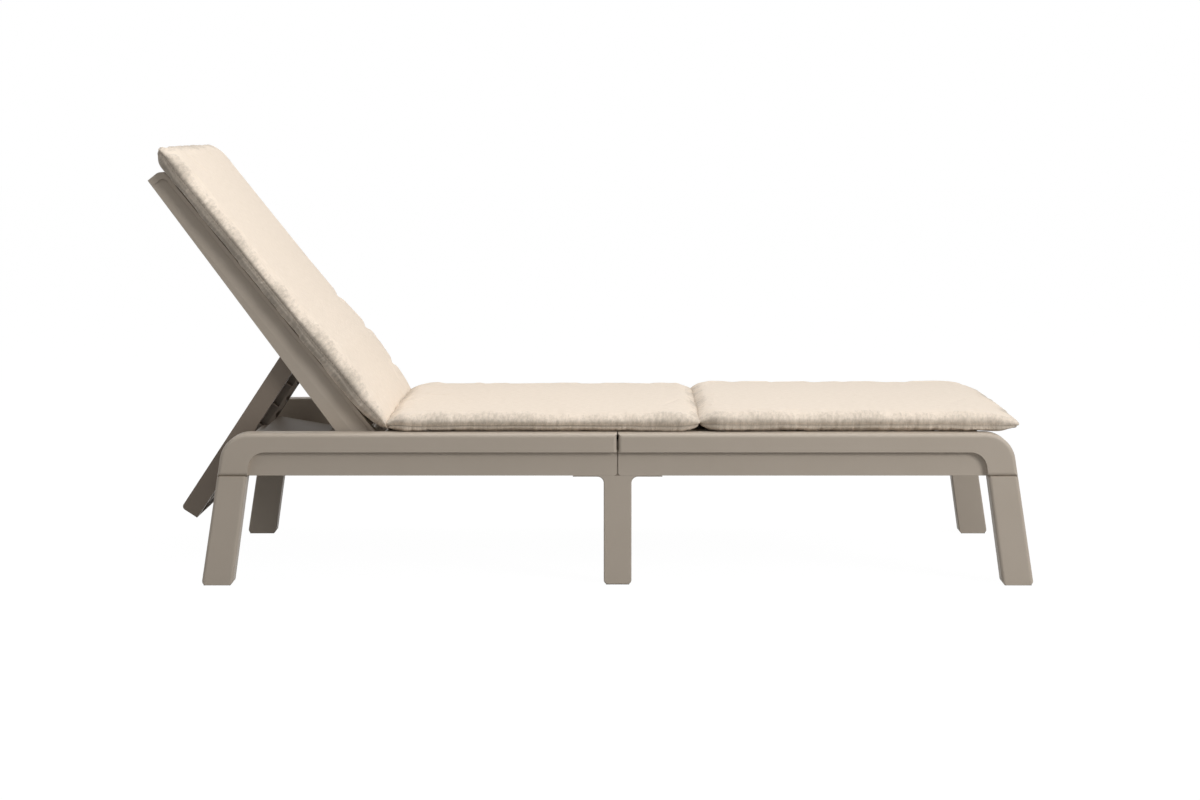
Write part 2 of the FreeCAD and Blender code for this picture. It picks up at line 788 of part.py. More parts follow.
def backrest_beam():
    """Right beam of the backrest, tapering to the top, with the slat rebate behind its lip."""
    beam = side_plate(beam_outline(0), -beam_outer, -beam_inner)
    beam = beam.cut(beam_scoop()).cut(beam_hollow())
    rebate = box(-beam_length + beam_lip, -back_slat_first + fit_gap, -rebate_outer, 0, rebate_floor,
                 beam_front + overrun)
    beam = beam.cut(rebate)
    hinge_bore = rod(hinge_pin_radius + running_gap, beam_thickness + 2 * overrun,
                     Vector(0, -beam_outer - overrun, 0), ALONG_Y)
    pin_start = Vector(-prop_pivot_along, -rebate_outer, -prop_pivot_drop)
    pin_bore = rod(prop_pin_radius, beam_thickness, pin_start, ALONG_Y)
    slots = []
    for place in back_lug_places():
        slots += back_lugs(place, fit_gap)
    return on_backrest(beam.cut([hinge_bore, pin_bore] + slots))


def back_slat_start(index):
    """Lower edge of a backrest slat, in the level hinge frame."""
    return -(back_slat_first + index * back_slat_pitch)


def back_slat(index):
    """One backrest slat in the rebates of the beams."""
    start = back_slat_start(index)
    end = start - back_slat_width
    half = rebate_outer - fit_gap
    slat = side_plate(slat_outline(end, start, rebate_floor, beam_front), -half, half)
    pocket_half = beam_inner - overrun
    for side in (-1, 1):
        span = sorted([side * thin_wall / 2, side * pocket_half])
        pocket = box(end + thin_wall, start - thin_wall, span[0], span[1],
                     rebate_floor - overrun, beam_front - thin_wall)
        slat = slat.cut(pocket)
    return on_backrest(slat.fuse(back_lugs(start - back_slat_width / 2, 0)).removeSplitter())


def back_lugs(middle, growth):
    """Lugs of the backrest slat or bar with its middle at a place, as deep as the rebate floor."""
    middle_y = (rebate_outer + beam_inner) / 2
    return slat_lugs(middle, middle_y, rebate_floor, skin + growth, growth)


def back_lug_places():
    """Middles of the backrest slats and of the top bar, in the level hinge frame."""
    places = [back_slat_start(index) - back_slat_width / 2 for index in range(back_slat_count)]
    return places + [(-top_bar_start - beam_length + beam_lip) / 2]


def top_bar():
    """Bar across the top end, which rests in the rebates and drops between the beams as a grip."""
    half = rebate_outer - fit_gap
    inner = beam_inner - fit_gap
    start = -top_bar_start
    end = -beam_length + beam_lip + fit_gap
    cap = slat_outline(end, start, rebate_floor, beam_front)
    grip = [
        (start, beam_front - top_bar_depth, top_bar_radius),
        (start, rebate_floor + thin_wall, 0),
        (end, rebate_floor + thin_wall, 0),
        (end, beam_front - top_bar_depth, top_bar_radius),
    ]
    bar = side_plate(cap, -half, half).fuse(side_plate(grip, -inner, inner))
    pitch = 2 * inner / bar_bays
    for index in range(bar_bays):
        low = -inner + index * pitch + thin_wall
        pocket = box(end + skin, start - skin, low, low + pitch - 2 * thin_wall, -overrun, beam_front - skin)
        bar = bar.cut(pocket)
    return on_backrest(bar.fuse(back_lugs((start + end) / 2, 0)).removeSplitter())


def bottom_bar():
    """Square bar with bevelled edges between the lower ends of the beams, around the hinge line."""
    half = bottom_bar_half
    flat = half - bottom_bar_bevel
    corners = [(flat, half), (half, flat), (half, -flat), (flat, -half)]
    corners += [(-along, height) for along, height in corners[::-1]]
    outline = [(along, height, 0) for along, height in corners]
    bar = side_plate(outline, -beam_inner, beam_inner)
    bore = rod(hinge_pin_radius + running_gap, 2 * rail_outer, Vector(0, -rail_outer, 0), ALONG_Y)
    return on_backrest(bar.cut(bore))


# Pins

def both_sides(shape):
    """A right-hand piece and its mirror image as one group."""
    return Part.makeCompound([shape, mirrored_side(shape)])


def hinge_pins():
    """Hinge pins, each fixed in a rail boss with its head in the rail channel."""
    head_y = -rail_inner - skin - pin_head_length
    head = hex_bar(pin_head_radius, pin_head_length, Vector(hinge_x, head_y, hinge_z), ALONG_Y)
    shank_length = -beam_inner + overrun - head_y
    shank = rod(hinge_pin_radius, shank_length, Vector(hinge_x, head_y, hinge_z), ALONG_Y)
    return both_sides(head.fuse(shank).removeSplitter())


def prop_pins():
    """Prop pins, each fixed in a beam hub with a prop arm turning on it."""
    pin_length = rebate_outer - prop_arm_inner - thin_wall
    start = Vector(-prop_pivot_along, -rebate_outer, -prop_pivot_drop)
    pin = rod(prop_pin_radius, pin_length, start, ALONG_Y)
    return on_backrest(both_sides(pin))


# Folding prop in the level pivot frame: the tail points along -X and the rack faces -Z

def prop_outline():
    """Side view of the prop from the pivot to the tail."""
    return [
        (prop_half_depth, prop_half_depth, prop_half_depth),
        (-prop_length, prop_half_depth, prop_tail_radius),
        (-prop_length, -prop_rack_depth, small_edge_radius),
        (prop_half_depth, -prop_rack_depth, prop_half_depth),
    ]


def prop_arm():
    """Right arm of the prop, notched underneath and ribbed on its inner side."""
    arm = side_plate(prop_outline(), -prop_arm_outer, -prop_arm_inner)
    collar_length = beam_inner - prop_arm_outer - fit_gap
    collar = rod(prop_collar_radius, collar_length, Vector(0, -prop_arm_outer - collar_length, 0), ALONG_Y)
    arm = arm.fuse(collar)
    notch_y = -prop_arm_inner - notch_reach
    for place in notch_places:
        notch = rod(notch_radius, notch_reach + overrun, Vector(-place, notch_y, -notch_offset), ALONG_Y)
        arm = arm.cut(notch)
    start = prop_half_depth + prop_collar_radius
    pitch = (prop_length - prop_tail_width - start) / arm_pocket_count
    for index in range(arm_pocket_count):
        high_x = -start - index * pitch
        pocket = box(high_x - pitch + thin_wall, high_x, -prop_arm_outer + skin, 0,
                     -prop_half_depth + 2 * skin, prop_half_depth - skin)
        arm = arm.cut(pocket)
    bore = rod(prop_pin_radius + running_gap, rail_outer, Vector(0, -rail_outer, 0), ALONG_Y)
    return on_prop(arm.cut(bore).removeSplitter())


def prop_tail_bar():
    """Bar that joins the tails of the two arms, hollow underneath."""
    outline = [
        (-prop_length + prop_tail_width, prop_half_depth, 0),
        (-prop_length, prop_half_depth, prop_tail_radius),
        (-prop_length, -prop_rack_depth, 0),
        (-prop_length + prop_tail_width, -prop_rack_depth, 0),
    ]
    bar = side_plate(outline, -prop_arm_inner, prop_arm_inner)
    pitch = 2 * prop_arm_inner / bar_bays
    for index in range(bar_bays):
        low = -prop_arm_inner + index * pitch + thin_wall
        high = low + pitch - 2 * thin_wall
        pocket = box(-prop_length + skin, -prop_length + prop_tail_width - skin, low, high,
                     -prop_rack_depth - overrun, prop_half_depth - skin)
        bar = bar.cut(pocket)
    return on_prop(bar)


# Bolts

def frame_bolt(start, direction, grip):
    """Bolt with its head on a face at start, pointing along a direction across the lounger."""
    head = hex_bar(bolt_head_radius, bolt_head_length, start - direction * bolt_head_length, direction)
    shank = hex_bar(bolt_radius, grip, start, direction)
    return head.fuse(shank).removeSplitter()


def leg_bolts():
    """Bolts that enter the right rail from the middle: one in each knee, one in each side of the splice."""
    outward = Vector(0, -1, 0)
    knee_z = rail_bottom + spigot_length / 2
    knee_x = (outer_edge_x(knee_z) + inner_edge_x(knee_z)) / 2
    splice_z = rail_bottom + splice_bolt_share * splice_rise
    splice_x = (splice_half_length + under_bar_width / 2) / 2
    places = [(knee_x, knee_z), (-knee_x, knee_z), (splice_x, splice_z), (-splice_x, splice_z)]
    return [frame_bolt(Vector(x, -rail_inner, z), outward, bolt_grip) for x, z in places]


def bar_bolts():
    """Bolts that hold the right ends of the crossbars to the rail."""
    outward = Vector(0, -1, 0)
    under_z = (under_bar_bottom + under_bar_top) / 2
    flange_y = -rail_inner + bar_flange
    bolts = []
    for centre_x in (0, foot_bar_centre_x):
        bolts.append(frame_bolt(Vector(centre_x, flange_y, under_z), outward, bar_bolt_grip))
    head_z = (rail_bottom + bar_low_top) / 2
    for share in bar_bolt_shares:
        start = Vector(bar_nose_x + share * bar_depth_along, -rail_inner - skin, head_z)
        bolts.append(frame_bolt(start, ALONG_Y, bolt_grip))
    return bolts


# Cushion

def cushion_section(half_width, base, top, crown):
    """Closed outline of the cushion in its end view: flat base, seamed sides and a crowned top."""
    seam = base + (top - base) * cushion_seam_share
    under = half_width - cushion_under
    shoulder = half_width - cushion_shoulder
    low_bulge = math.sin(math.pi / 4)
    under_mid = under + cushion_under * low_bulge
    under_mid_z = seam - (seam - base) * low_bulge
    top_mid = shoulder + cushion_shoulder * low_bulge
    top_mid_z = seam + (top - seam) * low_bulge
    points = {
        "base_right": (-under, base), "base_left": (under, base),
        "under_left": (under_mid, under_mid_z), "seam_left": (half_width, seam),
        "over_left": (top_mid, top_mid_z), "top_left": (shoulder, top),
        "crown": (0.0, top + crown),
        "top_right": (-shoulder, top), "over_right": (-top_mid, top_mid_z),
        "seam_right": (-half_width, seam), "under_right": (-under_mid, under_mid_z),
    }
    return points


def section_wire(along, points):
    """Wire of a cushion section at a place along the cushion."""
    at = {name: Vector(along, y, z) for name, (y, z) in points.items()}
    edges = [
        Part.makeLine(at["base_right"], at["base_left"]),
        Part.Arc(at["base_left"], at["under_left"], at["seam_left"]).toShape(),
        Part.Arc(at["seam_left"], at["over_left"], at["top_left"]).toShape(),
        Part.Arc(at["top_left"], at["crown"], at["top_right"]).toShape(),
        Part.Arc(at["top_right"], at["over_right"], at["seam_right"]).toShape(),
        Part.Arc(at["seam_right"], at["under_right"], at["base_right"]).toShape(),
    ]
    return Part.Wire(edges)


def cushion_loft(stations):
    """Cushion through stations of (along, base, top, crown), with the sides drawn in between the ends."""
    first = stations[0][0]
    last = stations[-1][0]
    wires = []
    for along, base, top, crown in stations:
        place = (along - first) / (last - first)
        half_width = cushion_half_width - cushion_draw * math.sin(math.pi * place)
        wires.append(section_wire(along, cushion_section(half_width, base, top, crown)))
    return Part.makeLoft(wires, True, True)


def end_stations(edge, ramp, lift, base, full):
    """Stations that round one end of a cushion from a thin edge at a lift above the base to its full height.

    The ramp is the length of the rounding, negative where the cushion lies on the -X side of the edge.
    """
    stations = []
    for step in range(end_steps):
        turn = step / end_steps * math.pi / 2
        rise = math.sin(turn)
        low = base + lift * (1 - rise)
        edge_top = base + lift + edge_thickness
        high = edge_top + (full - edge_top) * rise
        crown = cushion_crown * (least_crown_share + (1 - least_crown_share) * rise)
        stations.append((edge + ramp * (1 - math.cos(turn)), low, high, crown))
    return stations


def level_stations(start, end, base, full, steps):
    """Evenly spaced stations along the stretch of full height, both ends counted."""
    stations = []
    for step in range(steps + 1):
        stations.append((start + (end - start) * step / steps, base, full, cushion_crown))
    return stations


def level_cushion(start, start_ramp, start_lift, end, end_ramp, end_lift, thickness):
    """Cushion section that lies on the seat, rounded at both ends."""
    base = cushion_base
    full = base + thickness
    head = end_stations(start, start_ramp, start_lift, base, full)
    middle = level_stations(start + start_ramp, end - end_ramp, base, full, level_steps)
    foot = end_stations(end, -end_ramp, end_lift, base, full)
    return cushion_loft(head + middle + foot[::-1])


def seat_cushion():
    """Seat section, rounded down to the fold at its head end and to the crease at its foot end."""
    end = cushion_crease_x - cushion_crease_gap / 2
    return level_cushion(cushion_fold_x, fold_ramp, fold_lift, end, crease_ramp, crease_lift, seat_thickness)


def leg_cushion():
    """Leg section, with a long pinched edge at the foot end."""
    start = cushion_crease_x + cushion_crease_gap / 2
    return level_cushion(start, crease_ramp, crease_lift, cushion_end_x, pinch_ramp, pinch_lift,
                         leg_cushion_thickness)


def back_cushion():
    """Back section, fuller at the lower back, curving off the slats down to the fold."""
    base = beam_front + fit_gap
    full = base + back_thickness
    heel = end_stations(-back_cushion_heel, -heel_ramp, heel_lift, base, full)
    start = back_cushion_heel + heel_ramp
    end = beam_length + back_cushion_overhang - top_ramp
    middle = []
    for along, low, high, crown in level_stations(start, end, base, full, back_steps):
        reach = min(abs(along - bulge_place) / bulge_reach, 1)
        bulge = back_bulge * math.cos(reach * math.pi / 2) ** 2
        middle.append((-along, low, high + bulge, crown))
    top = end_stations(-beam_length - back_cushion_overhang, top_ramp, top_lift, base, full)
    cushion = on_backrest(cushion_loft(heel + middle + top[::-1]))
    beyond_fold = box(cushion_fold_x - fit_gap, foot_outer_x, -rail_outer, rail_outer, 0, foot_span)
    return cushion.cut(beyond_fold)


# Build

def with_side(nodes, name, shape):
    """Store a right-hand piece and its left-hand mirror image."""
    nodes[name + "_right"] = shape
    nodes[name + "_left"] = mirrored_side(shape)


def fasten(nodes):
    """Store the frame bolts as one group, and cut their holes in the pieces that they enter."""
    right_bolts = leg_bolts() + bar_bolts()
    bolts = right_bolts + [mirrored_side(bolt) for bolt in right_bolts]
    for name in nodes:
        if name.endswith(("_right", "_left", "crossbar")) and not name.startswith(("backrest", "prop")):
            nodes[name] = nodes[name].cut(bolts)
    nodes["frame_bolts"] = Part.makeCompound(bolts)


def build_nodes():
    """Every piece of the lounger by node name."""
    nodes = {}
    with_side(nodes, "head_rail", head_rail())
    with_side(nodes, "foot_rail", foot_rail())
    with_side(nodes, "leg_foot", foot_leg())
    with_side(nodes, "leg_head", mirrored_end(foot_leg()))
    with_side(nodes, "leg_middle", middle_leg())
    nodes["leg_glides"] = leg_glides()
    nodes["head_crossbar"] = head_crossbar()
    nodes["middle_crossbar"] = under_bar(0)
    nodes["foot_crossbar"] = under_bar(foot_bar_centre_x)
    for index in range(slat_count):
        nodes["seat_slat_%02d" % (index + 1)] = seat_slat(index)
    nodes["hinge_pins"] = hinge_pins()
    with_side(nodes, "backrest_beam", backrest_beam())
    nodes["backrest_top_bar"] = top_bar()
    nodes["backrest_bottom_bar"] = bottom_bar()
    for index in range(back_slat_count):
        nodes["backrest_slat_%d" % (index + 1)] = back_slat(index)
    nodes["prop_pins"] = prop_pins()
    with_side(nodes, "prop_arm", prop_arm())
    nodes["prop_tail_bar"] = prop_tail_bar()
    nodes["cushion_seat"] = seat_cushion()
    nodes["cushion_legs"] = leg_cushion()
    nodes["cushion_back"] = back_cushion()
    fasten(nodes)
    return nodes


def write_nodes():
    """Write each piece in the part's frame, one file per node."""
    os.makedirs("parts", exist_ok=True)
    for name, shape in build_nodes().items():
        shape.translate(Vector(-origin_x, 0, 0))
        shape.exportStep("parts/%s.step" % name)
    pivot = prop_pivot()
    print("hinge at %.3f 0 %.3f" % (hinge_x - origin_x, hinge_z))
    print("prop pivot at %.3f 0 %.3f" % (pivot.x - origin_x, pivot.z))
    print("origin is %.3f from the middle legs" % origin_x)


write_nodes()
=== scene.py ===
"""Spa relaxation lounger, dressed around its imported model: moulded frame, folding prop and sectioned cushion.

Metres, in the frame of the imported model: +X towards the feet, +Y to the left of a person lying on it, +Z up.
"""

import json
import logging
import math
from dataclasses import dataclass
from enum import Enum

import bmesh
import bpy
import numpy as np
from mathutils import Matrix, Vector


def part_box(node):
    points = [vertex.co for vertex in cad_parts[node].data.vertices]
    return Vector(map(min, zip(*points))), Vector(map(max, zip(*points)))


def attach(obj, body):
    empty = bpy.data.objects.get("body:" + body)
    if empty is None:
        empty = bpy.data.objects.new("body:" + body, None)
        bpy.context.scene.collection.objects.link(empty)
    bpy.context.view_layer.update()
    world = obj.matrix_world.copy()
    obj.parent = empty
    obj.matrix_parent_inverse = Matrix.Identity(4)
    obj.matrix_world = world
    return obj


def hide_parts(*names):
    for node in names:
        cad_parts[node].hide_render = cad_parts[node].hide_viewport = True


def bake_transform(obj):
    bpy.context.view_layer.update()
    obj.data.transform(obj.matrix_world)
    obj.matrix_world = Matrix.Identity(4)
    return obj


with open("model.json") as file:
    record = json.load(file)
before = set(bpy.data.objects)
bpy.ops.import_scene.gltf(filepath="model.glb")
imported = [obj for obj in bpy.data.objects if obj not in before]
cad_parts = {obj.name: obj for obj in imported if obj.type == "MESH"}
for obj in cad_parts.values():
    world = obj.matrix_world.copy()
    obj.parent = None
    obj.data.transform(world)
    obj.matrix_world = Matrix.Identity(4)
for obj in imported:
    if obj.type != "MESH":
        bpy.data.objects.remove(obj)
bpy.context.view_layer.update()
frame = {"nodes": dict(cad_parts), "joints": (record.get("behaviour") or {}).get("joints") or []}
MM = 0.001
log = logging.getLogger("lounger")


# Numbers of the inputs of a Mix node for colours, of its result, and of the range inputs of a Map Range node.
MIX_SHARE, MIX_FIRST, MIX_SECOND, MIXED = 0, 6, 7, 2
FROM_LOW, FROM_HIGH, TO_LOW, TO_HIGH = 1, 2, 3, 4
# A wave texture repeats every 2 pi / 20 of its own units.
WAVE_TURN = 2 * math.pi / 20


class Body(Enum):
    """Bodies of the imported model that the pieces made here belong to."""

    BASE = "base"
    BACKREST = "backrest"


# Small tools

def linear(code: str) -> tuple[float, float, float, float]:
    """Turn an sRGB hex colour into linear values.

    Args:
        code: Colour such as "#B5A99C".

    Returns:
        Red, green, blue and an alpha of 1.
    """
    values = [int(code[start:start + 2], 16) / 255 for start in (1, 3, 5)]
    bright = [value / 12.92 if value <= 0.04045 else ((value + 0.055) / 1.055) ** 2.4 for value in values]
    return bright[0], bright[1], bright[2], 1.0


def add_node(tree: bpy.types.NodeTree, kind: str, inputs: dict | None = None, **settings: object) -> bpy.types.Node:
    """Add a node with its settings, and set or link its inputs.

    Args:
        tree: Shader or geometry tree that gets the node.
        kind: Type name of the node.
        inputs: Values, or output sockets to link, by the name or number of the input.
        settings: Other settings of the node by name.

    Returns:
        The new node.
    """
    node = tree.nodes.new(kind)
    for name, value in settings.items():
        setattr(node, name, value)
    for key, value in (inputs or {}).items():
        if isinstance(value, bpy.types.NodeSocket):
            tree.links.new(value, node.inputs[key])
        else:
            node.inputs[key].default_value = value
    return node


def start_material(name: str) -> tuple[bpy.types.Material, bpy.types.NodeTree]:
    """Start a material with an empty shader tree.

    Args:
        name: Name of the material.

    Returns:
        The material and its tree.
    """
    made = bpy.data.materials.new(name)
    made.use_nodes = True
    made.node_tree.nodes.clear()
    return made, made.node_tree


def new_piece(name: str, mesh: bpy.types.Mesh) -> bpy.types.Object:
    """Put a mesh in the scene as a piece at the origin.

    Args:
        name: Name of the piece.
        mesh: Its mesh, with its place in the vertices.

    Returns:
        The new object.
    """
    piece = bpy.data.objects.new(name, mesh)
    bpy.context.scene.collection.objects.link(piece)
    return piece


def merged_copy(node: str, gap: float, flatten: bool = False) -> bpy.types.Mesh:
    """Copy the mesh of a solid and merge its loose triangles.

    Args:
        node: Name of the solid.
        gap: Vertices closer than this are merged.
        flatten: Whether the triangles of a flat face become one face.

    Returns:
        The copy, without materials.
    """
    mesh = frame["nodes"][node].data.copy()
    worked = bmesh.new()
    worked.from_mesh(mesh)
    bmesh.ops.remove_doubles(worked, verts=worked.verts, dist=gap)
    if flatten:
        bmesh.ops.dissolve_limit(worked, angle_limit=math.radians(1), verts=worked.verts, edges=worked.edges)
        bmesh.ops.recalc_face_normals(worked, faces=worked.faces)
    worked.to_mesh(mesh)
    worked.free()
    mesh.materials.clear()
    return mesh


def freeze(piece: bpy.types.Object) -> None:
    """Turn a piece with its modifiers into a plain mesh.

    Args:
        piece: The piece, which keeps its name and loses its modifiers.
    """
    graph = bpy.context.evaluated_depsgraph_get()
    mesh = bpy.data.meshes.new_from_object(piece.evaluated_get(graph), depsgraph=graph)
    piece.modifiers.clear()
    piece.data = mesh


def shade(piece: bpy.types.Object, material: bpy.types.Material, angle: float = 40.0) -> None:
    """Give a piece its material and smooth shading with crisp edges.

    Args:
        piece: The piece to shade.
        material: Its only material.
        angle: Edges that turn more than this many degrees stay crisp.
    """
    piece.data.materials.clear()
    piece.data.materials.append(material)
    piece.data.shade_smooth()
    piece.data.set_sharp_from_angle(angle=math.radians(angle))


def read_rows(items: bpy.types.bpy_prop_collection, name: str) -> np.ndarray:
    """Read a vector of each item of a mesh as rows of x, y and z."""
    rows = np.empty(len(items) * 3)
    items.foreach_get(name, rows)
    return rows.reshape(-1, 3)


def write_points(mesh: bpy.types.Mesh, points: np.ndarray) -> None:
    """Write rows of x, y and z to the vertices of a mesh."""
    mesh.vertices.foreach_set("co", points.ravel())
    mesh.update()


def read_numbers(mesh: bpy.types.Mesh, name: str) -> np.ndarray:
    """Read the numbers stored for the vertices of a mesh under a name."""
    values = np.empty(len(mesh.vertices), np.float32)
    mesh.attributes[name].data.foreach_get("value", values)
    return values.astype(float)


def store(mesh: bpy.types.Mesh, name: str, values: np.ndarray) -> None:
    """Store one number or one vector for each vertex.

    Args:
        mesh: The mesh that gets the attribute.
        name: Name of the attribute.
        values: One row for each vertex.
    """
    flat = values.ndim == 1
    attribute = mesh.attributes.new(name, "FLOAT" if flat else "FLOAT_VECTOR", "POINT")
    attribute.data.foreach_set("value" if flat else "vector", values.astype(np.float32).ravel())


def smooth_step(values: np.ndarray, low: float, high: float | np.ndarray) -> np.ndarray:
    """Rise smoothly from 0 at low to 1 at high."""
    share = np.clip((values - low) / (high - low), 0.0, 1.0)
    return share * share * (3 - 2 * share)


def grow(piece: bpy.types.Object, tree: bpy.types.NodeTree, inputs: dict[str, object]) -> None:
    """Run a geometry tree on a piece, and keep what it makes as a plain mesh.

    Args:
        piece: The piece, which gets the mesh that the tree makes from its own.
        tree: The geometry tree.
        inputs: Values for its inputs, by their names.
    """
    modifier = piece.modifiers.new(tree.name, "NODES")
    modifier.node_group = tree
    for item in tree.interface.items_tree:
        if item.name in inputs and item.in_out == "INPUT":
            modifier[item.identifier] = inputs[item.name]
    freeze(piece)


@dataclass(frozen=True)
class Bend:
    """Where soft goods cross a joint: the other body, and the places where the stretch across it begins and finishes.
    """

    other: Body
    begin: tuple[float, float, float]
    finish: tuple[float, float, float]


def hand_over(piece: bpy.types.Object, body: Body, bend: Bend | None = None) -> None:
    """Log a finished piece, and let it ride on its body, or leave it in place where it crosses a joint.

    Args:
        piece: The finished piece.
        body: The body that carries it.
        bend: Where it crosses a joint, or None where it is on one body.
    """
    log.info("%s: %d faces", piece.name, len(piece.data.polygons))
    if bend is None:
        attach(piece, body.value)
    else:
        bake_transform(piece)


def start_tree(name: str, sockets: dict[str, str]) -> tuple[bpy.types.NodeTree, bpy.types.Node]:
    """Start a geometry tree with named inputs.

    Args:
        name: Name of the tree.
        sockets: Socket types by the names of the inputs that follow the geometry.

    Returns:
        The tree and its input node.
    """
    tree = bpy.data.node_groups.new(name, "GeometryNodeTree")
    tree.interface.new_socket("Geometry", in_out="INPUT", socket_type="NodeSocketGeometry")
    for socket, kind in sockets.items():
        tree.interface.new_socket(socket, in_out="INPUT", socket_type=kind)
    tree.interface.new_socket("Geometry", in_out="OUTPUT", socket_type="NodeSocketGeometry")
    return tree, add_node(tree, "NodeGroupInput")


def end_tree(tree: bpy.types.NodeTree, instances: bpy.types.NodeSocket, given: bpy.types.Node) -> None:
    """End a geometry tree: instances become real faces and get the material.

    Args:
        tree: The geometry tree.
        instances: The instances that it made.
        given: Its input node, which holds the material.
    """
    real = add_node(tree, "GeometryNodeRealizeInstances", {0: instances})
    dressed = add_node(tree, "GeometryNodeSetMaterial", {
        "Geometry": real.outputs[0], "Material": given.outputs["Material"]})
    add_node(tree, "NodeGroupOutput", {0: dressed.outputs[0]})


# Finishes

@dataclass(frozen=True)
class MouldedResin:
    """Glass-filled polypropylene, injection moulded in a spark-eroded tool.

    To the eye it is a warm taupe, evenly matt, with a fine grain that breaks up the highlights, slightly
    cloudy colour where the melt cooled, and edges rounded by about a millimetre.
    """

    name: str = "moulded_resin"
    colour: str = "#BAAEA0"
    cloud_colour: str = "#B4A899"
    cloud_mm: float = 90.0
    grain_mm: float = 0.9
    grain_depth_mm: float = 0.3
    edge_mm: float = 1.2
    roughness: float = 0.52
    ior: float = 1.49

    def material(self) -> bpy.types.Material:
        """Build the material.

        Returns:
            A matt resin with grain, clouding and softened edges.
        """
        made, tree = start_material(self.name)
        place = add_node(tree, "ShaderNodeTexCoord").outputs["Object"]
        cloud = add_node(tree, "ShaderNodeTexNoise", {
            "Vector": place, "Scale": 1 / (self.cloud_mm * MM), "Detail": 3.0, "Roughness": 0.55})
        grain = add_node(tree, "ShaderNodeTexNoise", {
            "Vector": place, "Scale": 1 / (self.grain_mm * MM), "Detail": 2.0, "Roughness": 0.6})
        colour = add_node(tree, "ShaderNodeMix", {
            MIX_SHARE: cloud.outputs[0], MIX_FIRST: linear(self.colour), MIX_SECOND: linear(self.cloud_colour)},
            data_type="RGBA")
        rough = add_node(tree, "ShaderNodeMapRange", {
            0: grain.outputs[0], TO_LOW: self.roughness - 0.05, TO_HIGH: self.roughness + 0.07})
        edge = add_node(tree, "ShaderNodeBevel", {"Radius": self.edge_mm * MM}, samples=6)
        bump = add_node(tree, "ShaderNodeBump", {
            "Height": grain.outputs[0], "Normal": edge.outputs[0], "Strength": 0.35,
            "Distance": self.grain_depth_mm * MM})
        surface = add_node(tree, "ShaderNodeBsdfPrincipled", {
            "Base Color": colour.outputs[MIXED], "Roughness": rough.outputs[0], "IOR": self.ior,
            "Normal": bump.outputs[0]})
        add_node(tree, "ShaderNodeOutputMaterial", {"Surface": surface.outputs[0]})
        return made


